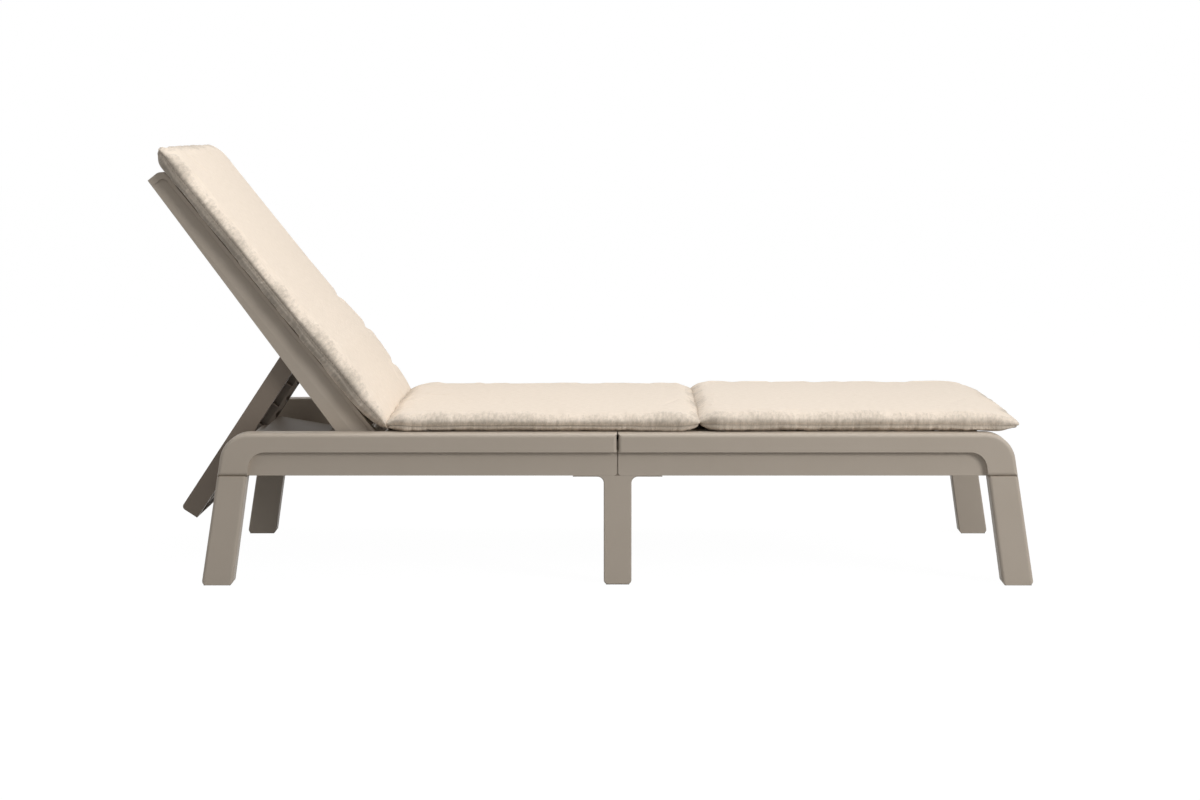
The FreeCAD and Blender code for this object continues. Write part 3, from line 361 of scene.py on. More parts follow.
@dataclass(frozen=True)
class WovenFabric:
    """Solution-dyed outdoor polyester, woven from slubby yarn over a soft filling.

    To the eye it is a warm cream with a faint mottle from uneven yarn, a fine plain weave, and a soft
    brightening at grazing angles from the loose fibres.
    """

    name: str = "woven_fabric"
    colour: str = "#F4E6D6"
    yarn_colour: str = "#E9DAC8"
    # Painted shade: the sides of the sections are darkened in streaks towards this colour, most at the seam.
    painted_fold_shade_colour: str = "#C5B9AA"
    # Painted shade: a thin line of this colour along the groove of the edge seam.
    seam_groove_shade_colour: str = "#A5998A"
    streak_mm: float = 7.0
    streak_gain: float = 3.0
    shade_fade_start: float = 1.95
    shade_fade_end: float = 2.95
    seam_mm: float = 1.3
    thread_mm: float = 1.6
    fuzz_mm: float = 0.8
    slub_mm: float = 14.0
    roughness: float = 0.9

    def material(self) -> bpy.types.Material:
        """Build the material. The weave is drawn about twice as coarse as the real one, so that it shows.

        Returns:
            A cream cloth that reads the attributes "cloth", "puckered" and "seam_gap".
        """
        made, tree = start_material(self.name)
        place = add_node(tree, "ShaderNodeAttribute", attribute_name="cloth").outputs["Vector"]
        scale = WAVE_TURN / (2 * self.thread_mm * MM)
        waves = []
        for axis in ("X", "Y"):
            waves.append(add_node(tree, "ShaderNodeTexWave", {
                "Vector": place, "Scale": scale, "Distortion": 0.8, "Detail": 1.0, "Detail Scale": 0.4},
                wave_type="BANDS", bands_direction=axis).outputs[1])
        weave = add_node(tree, "ShaderNodeMath", {0: waves[0], 1: waves[1]}, operation="MULTIPLY")
        stretched = add_node(tree, "ShaderNodeMapping", {"Vector": place, "Scale": (1.0, 3.0, 1.0)})
        slub = add_node(tree, "ShaderNodeTexNoise", {
            "Vector": stretched.outputs[0], "Scale": 1 / (self.slub_mm * MM), "Detail": 5.0, "Roughness": 0.7})
        mottle = add_node(tree, "ShaderNodeMapRange", {0: slub.outputs[0], FROM_LOW: 0.35, FROM_HIGH: 0.7})
        colour = add_node(tree, "ShaderNodeMix", {
            MIX_SHARE: mottle.outputs[0], MIX_FIRST: linear(self.colour), MIX_SECOND: linear(self.yarn_colour)},
            data_type="RGBA")
        # Painted shade on the sides: streaky noise times the stored side mask, mixed towards the darker fold colour.
        # The same mask also scales the coarse bump of the gathers.
        fold = add_node(tree, "ShaderNodeAttribute", attribute_name="pucker_bump_and_painted_shade").outputs["Fac"]
        drawn = add_node(tree, "ShaderNodeMapping", {"Vector": place, "Scale": (1.0, 0.45, 1.0)})
        streak = add_node(tree, "ShaderNodeTexNoise", {
            "Vector": drawn.outputs[0], "Scale": 1 / (self.streak_mm * MM), "Detail": 6.0, "Roughness": 0.76})
        level = add_node(tree, "ShaderNodeMath", {
            0: streak.outputs[0], 1: self.streak_gain, 2: fold}, operation="MULTIPLY_ADD")
        painted_shade_share = add_node(tree, "ShaderNodeMapRange", {
            0: level.outputs[0], FROM_LOW: self.shade_fade_start, FROM_HIGH: self.shade_fade_end})
        colour = add_node(tree, "ShaderNodeMix", {
            MIX_SHARE: painted_shade_share.outputs[0], MIX_FIRST: colour.outputs[MIXED], MIX_SECOND: linear(self.painted_fold_shade_colour)},
            data_type="RGBA")
        # Painted shade in the seam's groove: a thin darker line where the distance from the seam is small.
        gap = add_node(tree, "ShaderNodeAttribute", attribute_name="seam_gap").outputs["Fac"]
        line = add_node(tree, "ShaderNodeMapRange", {
            0: gap, FROM_LOW: 1.7 * self.seam_mm * MM, FROM_HIGH: 0.3 * self.seam_mm * MM})
        colour = add_node(tree, "ShaderNodeMix", {
            MIX_SHARE: line.outputs[0], MIX_FIRST: colour.outputs[MIXED], MIX_SECOND: linear(self.seam_groove_shade_colour)},
            data_type="RGBA")
        coarse = add_node(tree, "ShaderNodeMath", {0: streak.outputs[0], 1: fold}, operation="MULTIPLY")
        coarse = add_node(tree, "ShaderNodeBump", {
            "Height": coarse.outputs[0], "Strength": 0.8, "Distance": 2.0 * MM})
        fuzz = add_node(tree, "ShaderNodeTexNoise", {
            "Vector": place, "Scale": 1 / (self.fuzz_mm * MM), "Detail": 2.0, "Roughness": 0.6})
        height = add_node(tree, "ShaderNodeMath", {0: weave.outputs[0], 1: fuzz.outputs[0]}, operation="ADD")
        bump = add_node(tree, "ShaderNodeBump", {
            "Height": height.outputs[0], "Strength": 0.5, "Distance": 0.35 * MM, "Normal": coarse.outputs[0]})
        surface = add_node(tree, "ShaderNodeBsdfPrincipled", {
            "Base Color": colour.outputs[MIXED], "Roughness": self.roughness, "Specular IOR Level": 0.2,
            "Sheen Weight": 0.15, "Sheen Roughness": 0.5, "Normal": bump.outputs[0]})
        add_node(tree, "ShaderNodeOutputMaterial", {"Surface": surface.outputs[0]})
        return made


@dataclass(frozen=True)
class MottledFinish:
    """A matt synthetic whose colour and height vary together in one fine grain."""

    name: str
    colour: str
    second_colour: str
    grain_mm: float
    detail: float
    roughness: float
    sheen: float = 0.0

    def material(self) -> bpy.types.Material:
        """Build the material.

        Returns:
            A rough dielectric with mottled colour and a shallow grain.
        """
        made, tree = start_material(self.name)
        place = add_node(tree, "ShaderNodeTexCoord").outputs["Object"]
        grain = add_node(tree, "ShaderNodeTexNoise", {
            "Vector": place, "Scale": 1 / (self.grain_mm * MM), "Detail": self.detail})
        colour = add_node(tree, "ShaderNodeMix", {
            MIX_SHARE: grain.outputs[0], MIX_FIRST: linear(self.colour), MIX_SECOND: linear(self.second_colour)},
            data_type="RGBA")
        bump = add_node(tree, "ShaderNodeBump", {"Height": grain.outputs[0], "Strength": 0.3, "Distance": 0.1 * MM})
        surface = add_node(tree, "ShaderNodeBsdfPrincipled", {
            "Base Color": colour.outputs[MIXED], "Roughness": self.roughness, "Sheen Weight": self.sheen,
            "Normal": bump.outputs[0]})
        add_node(tree, "ShaderNodeOutputMaterial", {"Surface": surface.outputs[0]})
        return made


# Bonded polyester thread: a shade deeper than the cloth, with a slight sheen and a fine twist.
SEWING_THREAD = MottledFinish("sewing_thread", "#D9CBBA", "#BCAE9D", 1.2, 2.0, 0.6, 0.2)
# Moulded thermoplastic elastomer: the dark, slightly dusty rubbery look of furniture glides.
SOFT_PLASTIC = MottledFinish("soft_plastic", "#3A3631", "#5A544C", 1.5, 4.0, 0.75)


@dataclass(frozen=True)
class StainlessSteel:
    """Turned and tumbled stainless steel: a pale grey metal with faint turning rings and a soft gloss."""

    name: str = "stainless_steel"
    colour: str = "#C9C7C3"
    ring_mm: float = 0.5

    def material(self) -> bpy.types.Material:
        """Build the material.

        Returns:
            A metal with fine scratches in its roughness and bump.
        """
        made, tree = start_material(self.name)
        place = add_node(tree, "ShaderNodeTexCoord").outputs["Object"]
        rings = add_node(tree, "ShaderNodeTexNoise", {
            "Vector": place, "Scale": 1 / (self.ring_mm * MM), "Detail": 3.0, "Roughness": 0.7})
        rough = add_node(tree, "ShaderNodeMapRange", {0: rings.outputs[0], TO_LOW: 0.25, TO_HIGH: 0.45})
        bump = add_node(tree, "ShaderNodeBump", {
            "Height": rings.outputs[0], "Strength": 0.2, "Distance": 0.02 * MM})
        surface = add_node(tree, "ShaderNodeBsdfPrincipled", {
            "Base Color": linear(self.colour), "Metallic": 1.0, "Roughness": rough.outputs[0],
            "Normal": bump.outputs[0]})
        add_node(tree, "ShaderNodeOutputMaterial", {"Surface": surface.outputs[0]})
        return made


# Cushion

def ripple(place: np.ndarray, length: float, wave: float, seed: int) -> np.ndarray:
    """Draw a smooth random line round a closed edge.

    Args:
        place: Places along the edge, in metres.
        length: Length of the whole edge, where the line meets itself.
        wave: Distance between its random heights.
        seed: Number that picks the line.

    Returns:
        Its height at each place, between -1 and 1.
    """
    count = max(4, round(length / wave))
    heights = np.random.default_rng(seed).uniform(-1, 1, count)
    position = place / length * count
    index = np.floor(position).astype(int)
    share = position - index
    share = share * share * (3 - 2 * share)
    return heights[index % count] * (1 - share) + heights[(index + 1) % count] * share


@dataclass(frozen=True)
class Crease:
    """A soft crease across the top: from and to (s, y), its depth and its width."""

    begin: tuple[float, float]
    finish: tuple[float, float]
    depth: float = 1.2 * MM
    width: float = 5 * MM


@dataclass(frozen=True)
class CushionEnd:
    """One end of a section: how far its rounding runs, its rise above the base, and its ears."""

    ramp: float
    lift: float
    ear: float = 4 * MM


@dataclass(frozen=True)
class Filling:
    """Cloth simulation that swells a section: the cover, the pressure in it, and how far a point may move."""

    quality: int = 3
    mass: float = 0.2
    stretch: float = 12
    shear: float = 6
    bending: float = 0.4
    pressure: float = 4.0
    frames: int = 20
    cap: float = 4 * MM
    tuck: float = 1.5 * MM
    tuck_above: float = 2 * MM
    held_below: float = 1.5 * MM

    def start(self, piece: bpy.types.Object) -> None:
        """Put the cloth on a piece, whose vertex group "held" stays in place.

        Args:
            piece: The section to swell.
        """
        cloth = piece.modifiers.new("filling", "CLOTH")
        settings = cloth.settings
        settings.quality = self.quality
        settings.mass = self.mass
        settings.tension_stiffness = self.stretch
        settings.compression_stiffness = self.stretch
        settings.shear_stiffness = self.shear
        settings.bending_stiffness = self.bending
        settings.use_pressure = True
        settings.uniform_pressure_force = self.pressure
        settings.effector_weights.gravity = 0
        settings.vertex_group_mass = "held"
        cloth.collision_settings.use_collision = False
        cloth.point_cache.frame_start = 1
        cloth.point_cache.frame_end = self.frames


@dataclass
class CushionSection:
    """One filled section of the cushion, sewn round its rim and swollen by its filling.

    Places along the section (s) and above its base (n) are in metres in the section's own level frame.
    """

    name: str
    node: str
    body: Body
    origin: Vector
    slope_degrees: float
    start: float
    end: float
    low_end: CushionEnd
    high_end: CushionEnd
    thickness: float
    seed: int
    creases: tuple[Crease, ...] = ()
    slack_edge: float = 1.0 * MM
    half_width: float = 0.300
    edge_thickness: float = 6 * MM
    seam_share: float = 0.36
    voxel: float = 6 * MM
    filling: Filling = Filling()
    corner: float = 30 * MM
    # The sides: width of the rounding over and under the seam, how square it is, and how far it leans out.
    shoulder: float = 24 * MM
    under: float = 14 * MM
    squareness: float = 3.2
    under_squareness: float = 6.0
    least_crown: float = 0.25
    overhang: float = 21 * MM
    overhang_reach: float = 34 * MM
    end_overhang: float = 0.35
    end_reach: float = 40 * MM
    flatness: float = 3.2 * MM
    flat_reach: float = 200 * MM
    under_lift: float = 0.0
    lift_reach: float = 26 * MM
    lift_band: float = 4 * MM
    # The seam with its gathers, and the lumps of filling behind them.
    seam_shift: float = -1.5 * MM
    stitch_drop: float = 2.6 * MM
    pucker_wave: float = 13 * MM
    pucker_depth: float = 1.3 * MM
    pucker_reach: float = 25 * MM
    lump_wave: float = 48 * MM
    lump_depth: float = 1.4 * MM
    fullness: float = 4.5 * MM
    full_share: float = 0.7
    seam_depth: float = 2.4 * MM
    seam_width: float = 2.2 * MM
    slack_wave: float = 55 * MM
    slack_share: float = 0.25
    ear_reach: float = 24 * MM
    ear_pinch: float = 0.45
    # The painted shade on the cloth's sides, drawn in streaks: how far in it reaches, and how much it varies and
    # deepens under the seam.
    shade_fade_start: float = 3 * MM
    shade_reach: float = 32 * MM
    shade_spread: float = 9 * MM
    patch_wave: float = 45 * MM
    shade_patchiness: float = 0.28
    under_seam_shade: float = 0.35
    # Where it is sewn to its neighbour on another body.
    joined_to: Body | None = None
    joined_reach: float = 55 * MM

    def to_level(self, points: np.ndarray) -> np.ndarray:
        """Turn points of the frame into rows of s, y and n in the level frame."""
        return (points - np.array(self.origin)) @ self.turn()

    def to_frame(self, points: np.ndarray) -> np.ndarray:
        """Turn rows of s, y and n into points of the frame."""
        return points @ self.turn().T + np.array(self.origin)

    def turn(self) -> np.ndarray:
        """Rotation from the level frame to the frame."""
        return np.array(Matrix.Rotation(math.radians(self.slope_degrees), 3, "Y"))

    def seam_height(self, along: np.ndarray) -> np.ndarray:
        """Height of the edge seam above the base at places along the section."""
        height = np.full_like(along, self.seam_share * self.thickness)
        for inward, finish in ((along - self.start, self.low_end), (self.end - along, self.high_end)):
            rise = np.sin(np.arccos(np.clip(1 - inward / finish.ramp, 0, 1)))
            low = finish.lift * (1 - rise)
            edge_top = finish.lift + self.edge_thickness
            high = edge_top + (self.thickness - edge_top) * rise
            near = inward < finish.ramp
            height[near] = (low + self.seam_share * (high - low))[near]
        return height

    def core(self) -> tuple[np.ndarray, np.ndarray]:
        """Low and high corner, in s and y, of the area within the rounded corners."""
        low = np.array([self.start + self.corner, self.corner - self.half_width])
        return low, np.array([self.end - self.corner, self.half_width - self.corner])

    def round_edge(self, level: np.ndarray) -> tuple[np.ndarray, float]:
        """Measure how far round the edge of the section points lie.

        Args:
            level: Rows of s, y and n.

        Returns:
            The place of each point along the edge, from the near corner at the high end, and the whole length.
        """
        low, high = self.core()
        length, width = high - low
        kept = np.clip(level[:, :2], low, high)
        out = level[:, :2] - kept
        turn = np.arctan2(out[:, 1], out[:, 0])
        turn[turn <= -math.pi / 2 + 1e-6] += 2 * math.pi
        straight = np.select(
            [turn < math.pi / 2 - 1e-6, turn < math.pi - 1e-6, turn < 1.5 * math.pi - 1e-6],
            [kept[:, 1] - low[1], width + high[0] - kept[:, 0], width + length + high[1] - kept[:, 1]],
            2 * width + length + kept[:, 0] - low[0])
        whole = 2 * (width + length) + 2 * math.pi * self.corner
        return straight + self.corner * (turn + math.pi / 2), whole

    def shell(self) -> bpy.types.Object:
        """Copy the solid of this section, and remesh it evenly.

        Returns:
            A closed piece with an even mesh, with its edges a little rounder than the solid's.
        """
        piece = new_piece(self.name, merged_copy(self.node, 0.05 * MM))
        remesh = piece.modifiers.new("even", "REMESH")
        remesh.mode = "VOXEL"
        remesh.voxel_size = self.voxel
        relax = piece.modifiers.new("relax", "SMOOTH")
        relax.factor = 0.5
        relax.iterations = 2
        freeze(piece)
        return piece

    def plump(self, level: np.ndarray) -> np.ndarray:
        """Fill the sides out to a full edge, which leans out over the rails.

        Args:
            level: Rows of s, y and n.

        Returns:
            The rows of the fuller shape.
        """
        seam = self.seam_height(level[:, 0])
        above = level[:, 2] - seam
        inward = np.maximum(self.half_width - np.abs(level[:, 1]), 0)
        side = np.sign(level[:, 1])
        height = self.thickness - self.seam_share * self.thickness
        local = np.clip(height * seam / (self.seam_share * self.thickness), self.least_crown * height, height)
        width = np.where(above > 0, self.shoulder, self.under)
        across = np.clip((width - inward) / width, 0, 1)
        up = np.clip(np.abs(above) / np.where(above > 0, local, np.maximum(seam, 1e-3)), 0, 1)
        turn = np.arctan2(up, across)
        power = np.where(above > 0, self.squareness, self.under_squareness)
        square = (np.cos(turn) ** power + np.sin(turn) ** power) ** (-1 / power)
        edge = across > 0
        near_end = np.minimum(level[:, 0] - self.start, self.end - level[:, 0])
        lean = self.end_overhang + (1 - self.end_overhang) * smooth_step(near_end, 0.0, self.end_reach)
        lean *= 1 - smooth_step(inward, 0.0, self.overhang_reach)
        fuller = level.copy()
        wider = np.where(edge, across * width * (square - 1), 0)
        fuller[:, 1] += side * (wider + self.overhang * lean)
        raised = above * (square - 1) * edge
        flat = self.flatness * (1 - smooth_step(inward, self.shoulder, self.flat_reach))
        flat *= smooth_step(up, 0.0, 1.0)
        fuller[:, 2] += np.where(above > 0, raised + flat * local / height, np.maximum(raised, -level[:, 2]))
        lifted = self.under_lift * (1 - smooth_step(inward, 0.0, self.lift_reach))
        fuller[:, 2] += lifted * (1 - smooth_step(above, -self.lift_band, self.lift_band))
        return fuller

    def mark(self, piece: bpy.types.Object) -> None:
        """Store where the seam and the edge lie, and fill out the sides, before the filling swells them.

        Args:
            piece: The even mesh of the section.
        """
        level = self.to_level(read_rows(piece.data.vertices, "co"))
        above = level[:, 2] - self.seam_height(level[:, 0])
        rim = np.minimum(self.half_width - np.abs(level[:, 1]),
                         np.minimum(level[:, 0] - self.start, self.end - level[:, 0]))
        store(piece.data, "above_seam", above)
        store(piece.data, "rim", rim)
        drop = np.where(rim < self.corner, above, 0.0)
        side = np.sign(level[:, 1]) * (np.abs(level[:, 1]) > self.half_width - self.corner)
        store(piece.data, "cloth", np.stack([level[:, 0], level[:, 1] - side * drop, np.zeros_like(drop)], axis=1))
        held = level[:, 2] < self.filling.held_below
        group = piece.vertex_groups.new(name="held")
        group.add(np.nonzero(held)[0].tolist(), 1.0, "REPLACE")
        write_points(piece.data, self.to_frame(self.plump(level)))

    def fill(self, piece: bpy.types.Object) -> None:
        """Swell the section by cloth simulation, and keep the swelling within its cap and its length as it was.

        Args:
            piece: The marked mesh, which keeps its topology.
        """
        before = self.to_level(read_rows(piece.data.vertices, "co"))
        tucked_in = self.filling.tuck * (before[:, 2] > self.filling.tuck_above)
        inward = read_rows(piece.data.vertex_normals, "vector") @ self.turn() * tucked_in[:, None]
        inward[:, 0] = 0
        inward[:, 2] = np.maximum(inward[:, 2], 0)
        tucked = before - inward
        write_points(piece.data, self.to_frame(tucked))
        self.filling.start(piece)
        for moment in range(1, self.filling.frames + 1):
            bpy.context.scene.frame_set(moment)
        graph = bpy.context.evaluated_depsgraph_get()
        swollen = self.to_level(read_rows(piece.evaluated_get(graph).data.vertices, "co"))
        piece.modifiers.clear()
        bpy.context.scene.frame_set(1)
        move = swollen - tucked
        move[:, 0] = 0
        length = np.maximum(np.linalg.norm(move, axis=1), 1e-9)
        capped = self.filling.cap * np.tanh(length / self.filling.cap) / length
        write_points(piece.data, self.to_frame(tucked + move * capped[:, None]))
        log.info("%s swelled by up to %.1f mm", self.name, length.max() / MM)

    def tailor(self, piece: bpy.types.Object) -> None:
        """Subdivide the swollen section, and sew it: edge seam, gathers, lumps, ears and creases.

        Args:
            piece: The swollen mesh, which gets its finished surface.
        """
        finer = piece.modifiers.new("finer", "SUBSURF")
        finer.levels = 1
        finer.render_levels = 1
        freeze(piece)
        mesh = piece.data
        points = read_rows(mesh.vertices, "co")
        normals = read_rows(mesh.vertex_normals, "vector")
        above = read_numbers(mesh, "above_seam")
        rim = np.maximum(read_numbers(mesh, "rim"), 0)
        level = self.to_level(points)
        place, whole = self.round_edge(level)
        points += normals * self.gathers(above, rim, place, whole)[:, None]
        points -= normals * self.pressed(above, rim, level)[:, None]
        level = self.to_level(points)
        full = self.fullness * np.sin(np.pi * np.clip(above / (self.full_share * self.thickness), 0, 1))
        level[:, :2] += self.outward(level, rim) * full[:, None]
        edge = 1 - smooth_step(rim, 0.006, 0.022)
        slack = np.maximum(ripple(place, whole, self.slack_wave, self.seed + 9) + self.slack_share, 0)
        level[:, 2] += self.slack_edge * slack * edge * (1 - smooth_step(above, 0.0, 0.012))
        self.pull_ears(level, above)
        write_points(mesh, self.to_frame(level))
        # Mask of the painted shade on the sides, also used for the bump of the gathers: full at the edge, stronger
        # under the seam, patchy round the edge, fading in over the top.
        under = 1 - smooth_step(above - self.seam_shift, -0.003, 0.0)
        patchy = ripple(place, whole, self.patch_wave, self.seed + 12)
        fade = 1 - smooth_step(rim, self.shade_fade_start, self.shade_reach + self.shade_spread * patchy)
        store(mesh, "pucker_bump_and_painted_shade", (1 + self.under_seam_shade * under) * (1 + self.shade_patchiness * patchy) * fade)
        store(mesh, "seam_gap", np.abs(above - self.seam_shift) + (rim > self.corner))

    def outward(self, level: np.ndarray, rim: np.ndarray) -> np.ndarray:
        """Direction out over the edge in s and y, fading in from the rim.

        Args:
            level: Rows of s, y and n.
            rim: Distance in from the edge.

        Returns:
            Rows of s and y, of length 1 at the edge and 0 well inside it.
        """
        low, high = self.core()
        out = level[:, :2] - np.clip(level[:, :2], low, high)
        size = np.maximum(np.linalg.norm(out, axis=1), 1e-9)
        return out / size[:, None] * (1 - smooth_step(rim, 0.004, 0.024))[:, None]

    def gathers(self, above: np.ndarray, rim: np.ndarray, place: np.ndarray, whole: float) -> np.ndarray:
        """Height of the gathers beside the seam and of the lumps of filling behind them.

        Args:
            above: Height over the seam at each vertex.
            rim: Distance in from the edge.
            place: Place round the edge.
            whole: Length of the whole edge.

        Returns:
            How far each vertex is pushed out.
        """
        away = np.hypot(above - self.seam_shift, rim)
        reach = self.pucker_reach * (1 + 0.35 * ripple(place, whole, 1.5 * self.pucker_wave, self.seed + 1))
        slant = away * 0.5 * ripple(place, whole, 0.05, self.seed + 2)
        fold = ripple(place + slant, whole, self.pucker_wave / 2, self.seed + 3)
        fine = ripple(place - slant, whole, self.pucker_wave / 4, self.seed + 4)
        grip = smooth_step(away, 0.001, 0.006) * (1 - smooth_step(away, 0.35 * reach, reach))
        lump = ripple(place + 2 * slant, whole, self.lump_wave / 2, self.seed + 5)
        swell = smooth_step(away, 0.006, 0.022) * (1 - smooth_step(away, 0.030, 0.065))
        return grip * (self.pucker_depth * fold + 0.3 * self.pucker_depth * fine) + self.lump_depth * lump * swell

    def pressed(self, above: np.ndarray, rim: np.ndarray, level: np.ndarray) -> np.ndarray:
        """Depth of the seam and the creases.

        Args:
            above: Height over the seam at each vertex.
            rim: Distance in from the edge.
            level: Rows of s, y and n.

        Returns:
            How far each vertex is pushed in.
        """
        depth = self.seam_depth * np.exp(-((above - self.seam_shift) / self.seam_width) ** 2) * (rim < 0.02)
        for crease in self.creases:
            first, last = np.array(crease.begin), np.array(crease.finish)
            reach = last - first
            share = np.clip(((level[:, :2] - first) @ reach) / (reach @ reach), 0, 1)
            away = np.linalg.norm(level[:, :2] - first - share[:, None] * reach, axis=1)
            fade = np.sin(np.pi * np.clip(share, 0.02, 0.98)) ** 0.7
            depth += crease.depth * fade * np.exp(-(away / crease.width) ** 2) * (level[:, 2] > 0.01)
        return depth

    def pull_ears(self, level: np.ndarray, above: np.ndarray) -> None:
        """Pull the four corners out to small ears, where the seams meet.

        Args:
            level: Rows of s, y and n, which are changed.
            above: Height over the seam at each vertex.
        """
        for corner_s, finish in ((self.start, self.low_end), (self.end, self.high_end)):
            for side in (-1, 1):
                corner = np.array([corner_s, side * self.half_width])
                outward = np.array([math.copysign(1, corner_s - (self.start + self.end) / 2), side]) / math.sqrt(2)
                weight = np.exp(-(np.linalg.norm(level[:, :2] - corner, axis=1) / self.ear_reach) ** 2)
                level[:, :2] += (finish.ear * weight)[:, None] * outward
                level[:, 2] -= self.ear_pinch * weight * np.maximum(above, -0.004)

    def build(self, material: bpy.types.Material) -> bpy.types.Object:
        """Make the section from remesh to finish.

        Args:
            material: The cloth it is sewn from.

        Returns:
            The finished piece, not yet on a body.
        """
        piece = self.shell()
        self.mark(piece)
        self.fill(piece)
        self.tailor(piece)
        shade(piece, material, 80.0)
        piece.vertex_groups.clear()
        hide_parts(self.node)
        hand_over(piece, self.body, self.bend())
        return piece

    def bend(self) -> Bend | None:
        """Place the bend at the high end, where the section is sewn to its neighbour on another body."""
        if self.joined_to is None:
            return None
        places = self.to_frame(np.array([[self.end, 0.0, 0.0], [self.end - self.joined_reach, 0.0, 0.0]]))
        return Bend(self.joined_to, *(tuple(place) for place in places.tolist()))

    def seam_line(self, piece: bpy.types.Object) -> np.ndarray:
        """Follow the edge seam over the finished surface.

        Args:
            piece: The finished section.

        Returns:
            Points in order round the edge, just under the seam.
        """
        mesh = piece.data
        points = read_rows(mesh.vertices, "co") + 0.4 * MM * read_rows(mesh.vertex_normals, "vector")
        gap = read_numbers(mesh, "above_seam") - self.seam_shift + self.stitch_drop
        rim = read_numbers(mesh, "rim")
        ends = np.empty(len(mesh.edges) * 2, np.int32)
        mesh.edges.foreach_get("vertices", ends)
        first, last = ends.reshape(-1, 2).T
        crossing = (gap[first] * gap[last] < 0) & (rim[first] < self.corner)
        first, last = first[crossing], last[crossing]
        share = (gap[first] / (gap[first] - gap[last]))[:, None]
        found = points[first] * (1 - share) + points[last] * share
        place, whole = self.round_edge(self.to_level(found))
        steps = round(whole / (5 * MM))
        bins = (place / whole * steps).astype(int) % steps
        filled = np.unique(bins)
        return np.array([found[bins == index].mean(axis=0) for index in filled])


@dataclass(frozen=True)
class Stitching:
    """A row of lockstitches along the edge seams of the sections of one body."""

    name: str
    body: Body
    bend: Bend | None
    spacing: float = 8.5 * MM
    stitch: float = 5.5 * MM
    thickness: float = 1.1 * MM
    seed: int = 5

    def build(self, loops: list[np.ndarray], material: bpy.types.Material) -> None:
        """Sew along the loops.

        Args:
            loops: Points of each closed seam.
            material: The thread.
        """
        points = np.concatenate(loops)
        edges = []
        start = 0
        for loop in loops:
            edges += [(start + index, start + (index + 1) % len(loop)) for index in range(len(loop))]
            start += len(loop)
        mesh = bpy.data.meshes.new(self.name)
        mesh.from_pydata(points.tolist(), edges, [])
        piece = new_piece(self.name, mesh)
        grow(piece, self.tree(), {
            "Spacing": self.spacing, "Stitch": self.stitch, "Thickness": self.thickness, "Seed": self.seed,
            "Material": material})
        hand_over(piece, self.body, self.bend)

    def tree(self) -> bpy.types.NodeTree:
        """Build the tree: small beads of thread laid along a curve.

        Returns:
            A tree with the inputs Spacing, Stitch, Thickness, Seed and Material.
        """
        tree, given = start_tree("stitches", {
            "Spacing": "NodeSocketFloat", "Stitch": "NodeSocketFloat", "Thickness": "NodeSocketFloat",
            "Seed": "NodeSocketInt", "Material": "NodeSocketMaterial"})
        curve = add_node(tree, "GeometryNodeMeshToCurve", {0: given.outputs[0]})
        places = add_node(tree, "GeometryNodeCurveToPoints", {
            "Curve": curve.outputs[0], "Length": given.outputs["Spacing"]}, mode="LENGTH")
        ball = add_node(tree, "GeometryNodeMeshUVSphere", {"Segments": 6, "Rings": 4, "Radius": 0.5})
        size = add_node(tree, "ShaderNodeCombineXYZ", {
            0: given.outputs["Thickness"], 1: given.outputs["Thickness"], 2: given.outputs["Stitch"]})
        bead = add_node(tree, "GeometryNodeTransform", {"Geometry": ball.outputs[0], "Scale": size.outputs[0]})
        bead = add_node(tree, "GeometryNodeSetShadeSmooth", {0: bead.outputs[0]})
        uneven = add_node(tree, "FunctionNodeRandomValue", {
            2: 0.85, 3: 1.1, "Seed": given.outputs["Seed"]}, data_type="FLOAT")
        laid = add_node(tree, "GeometryNodeInstanceOnPoints", {
            "Points": places.outputs["Points"], "Instance": bead.outputs[0],
            "Rotation": places.outputs["Rotation"], "Scale": uneven.outputs[1]})
        end_tree(tree, laid.outputs[0], given)
        return tree


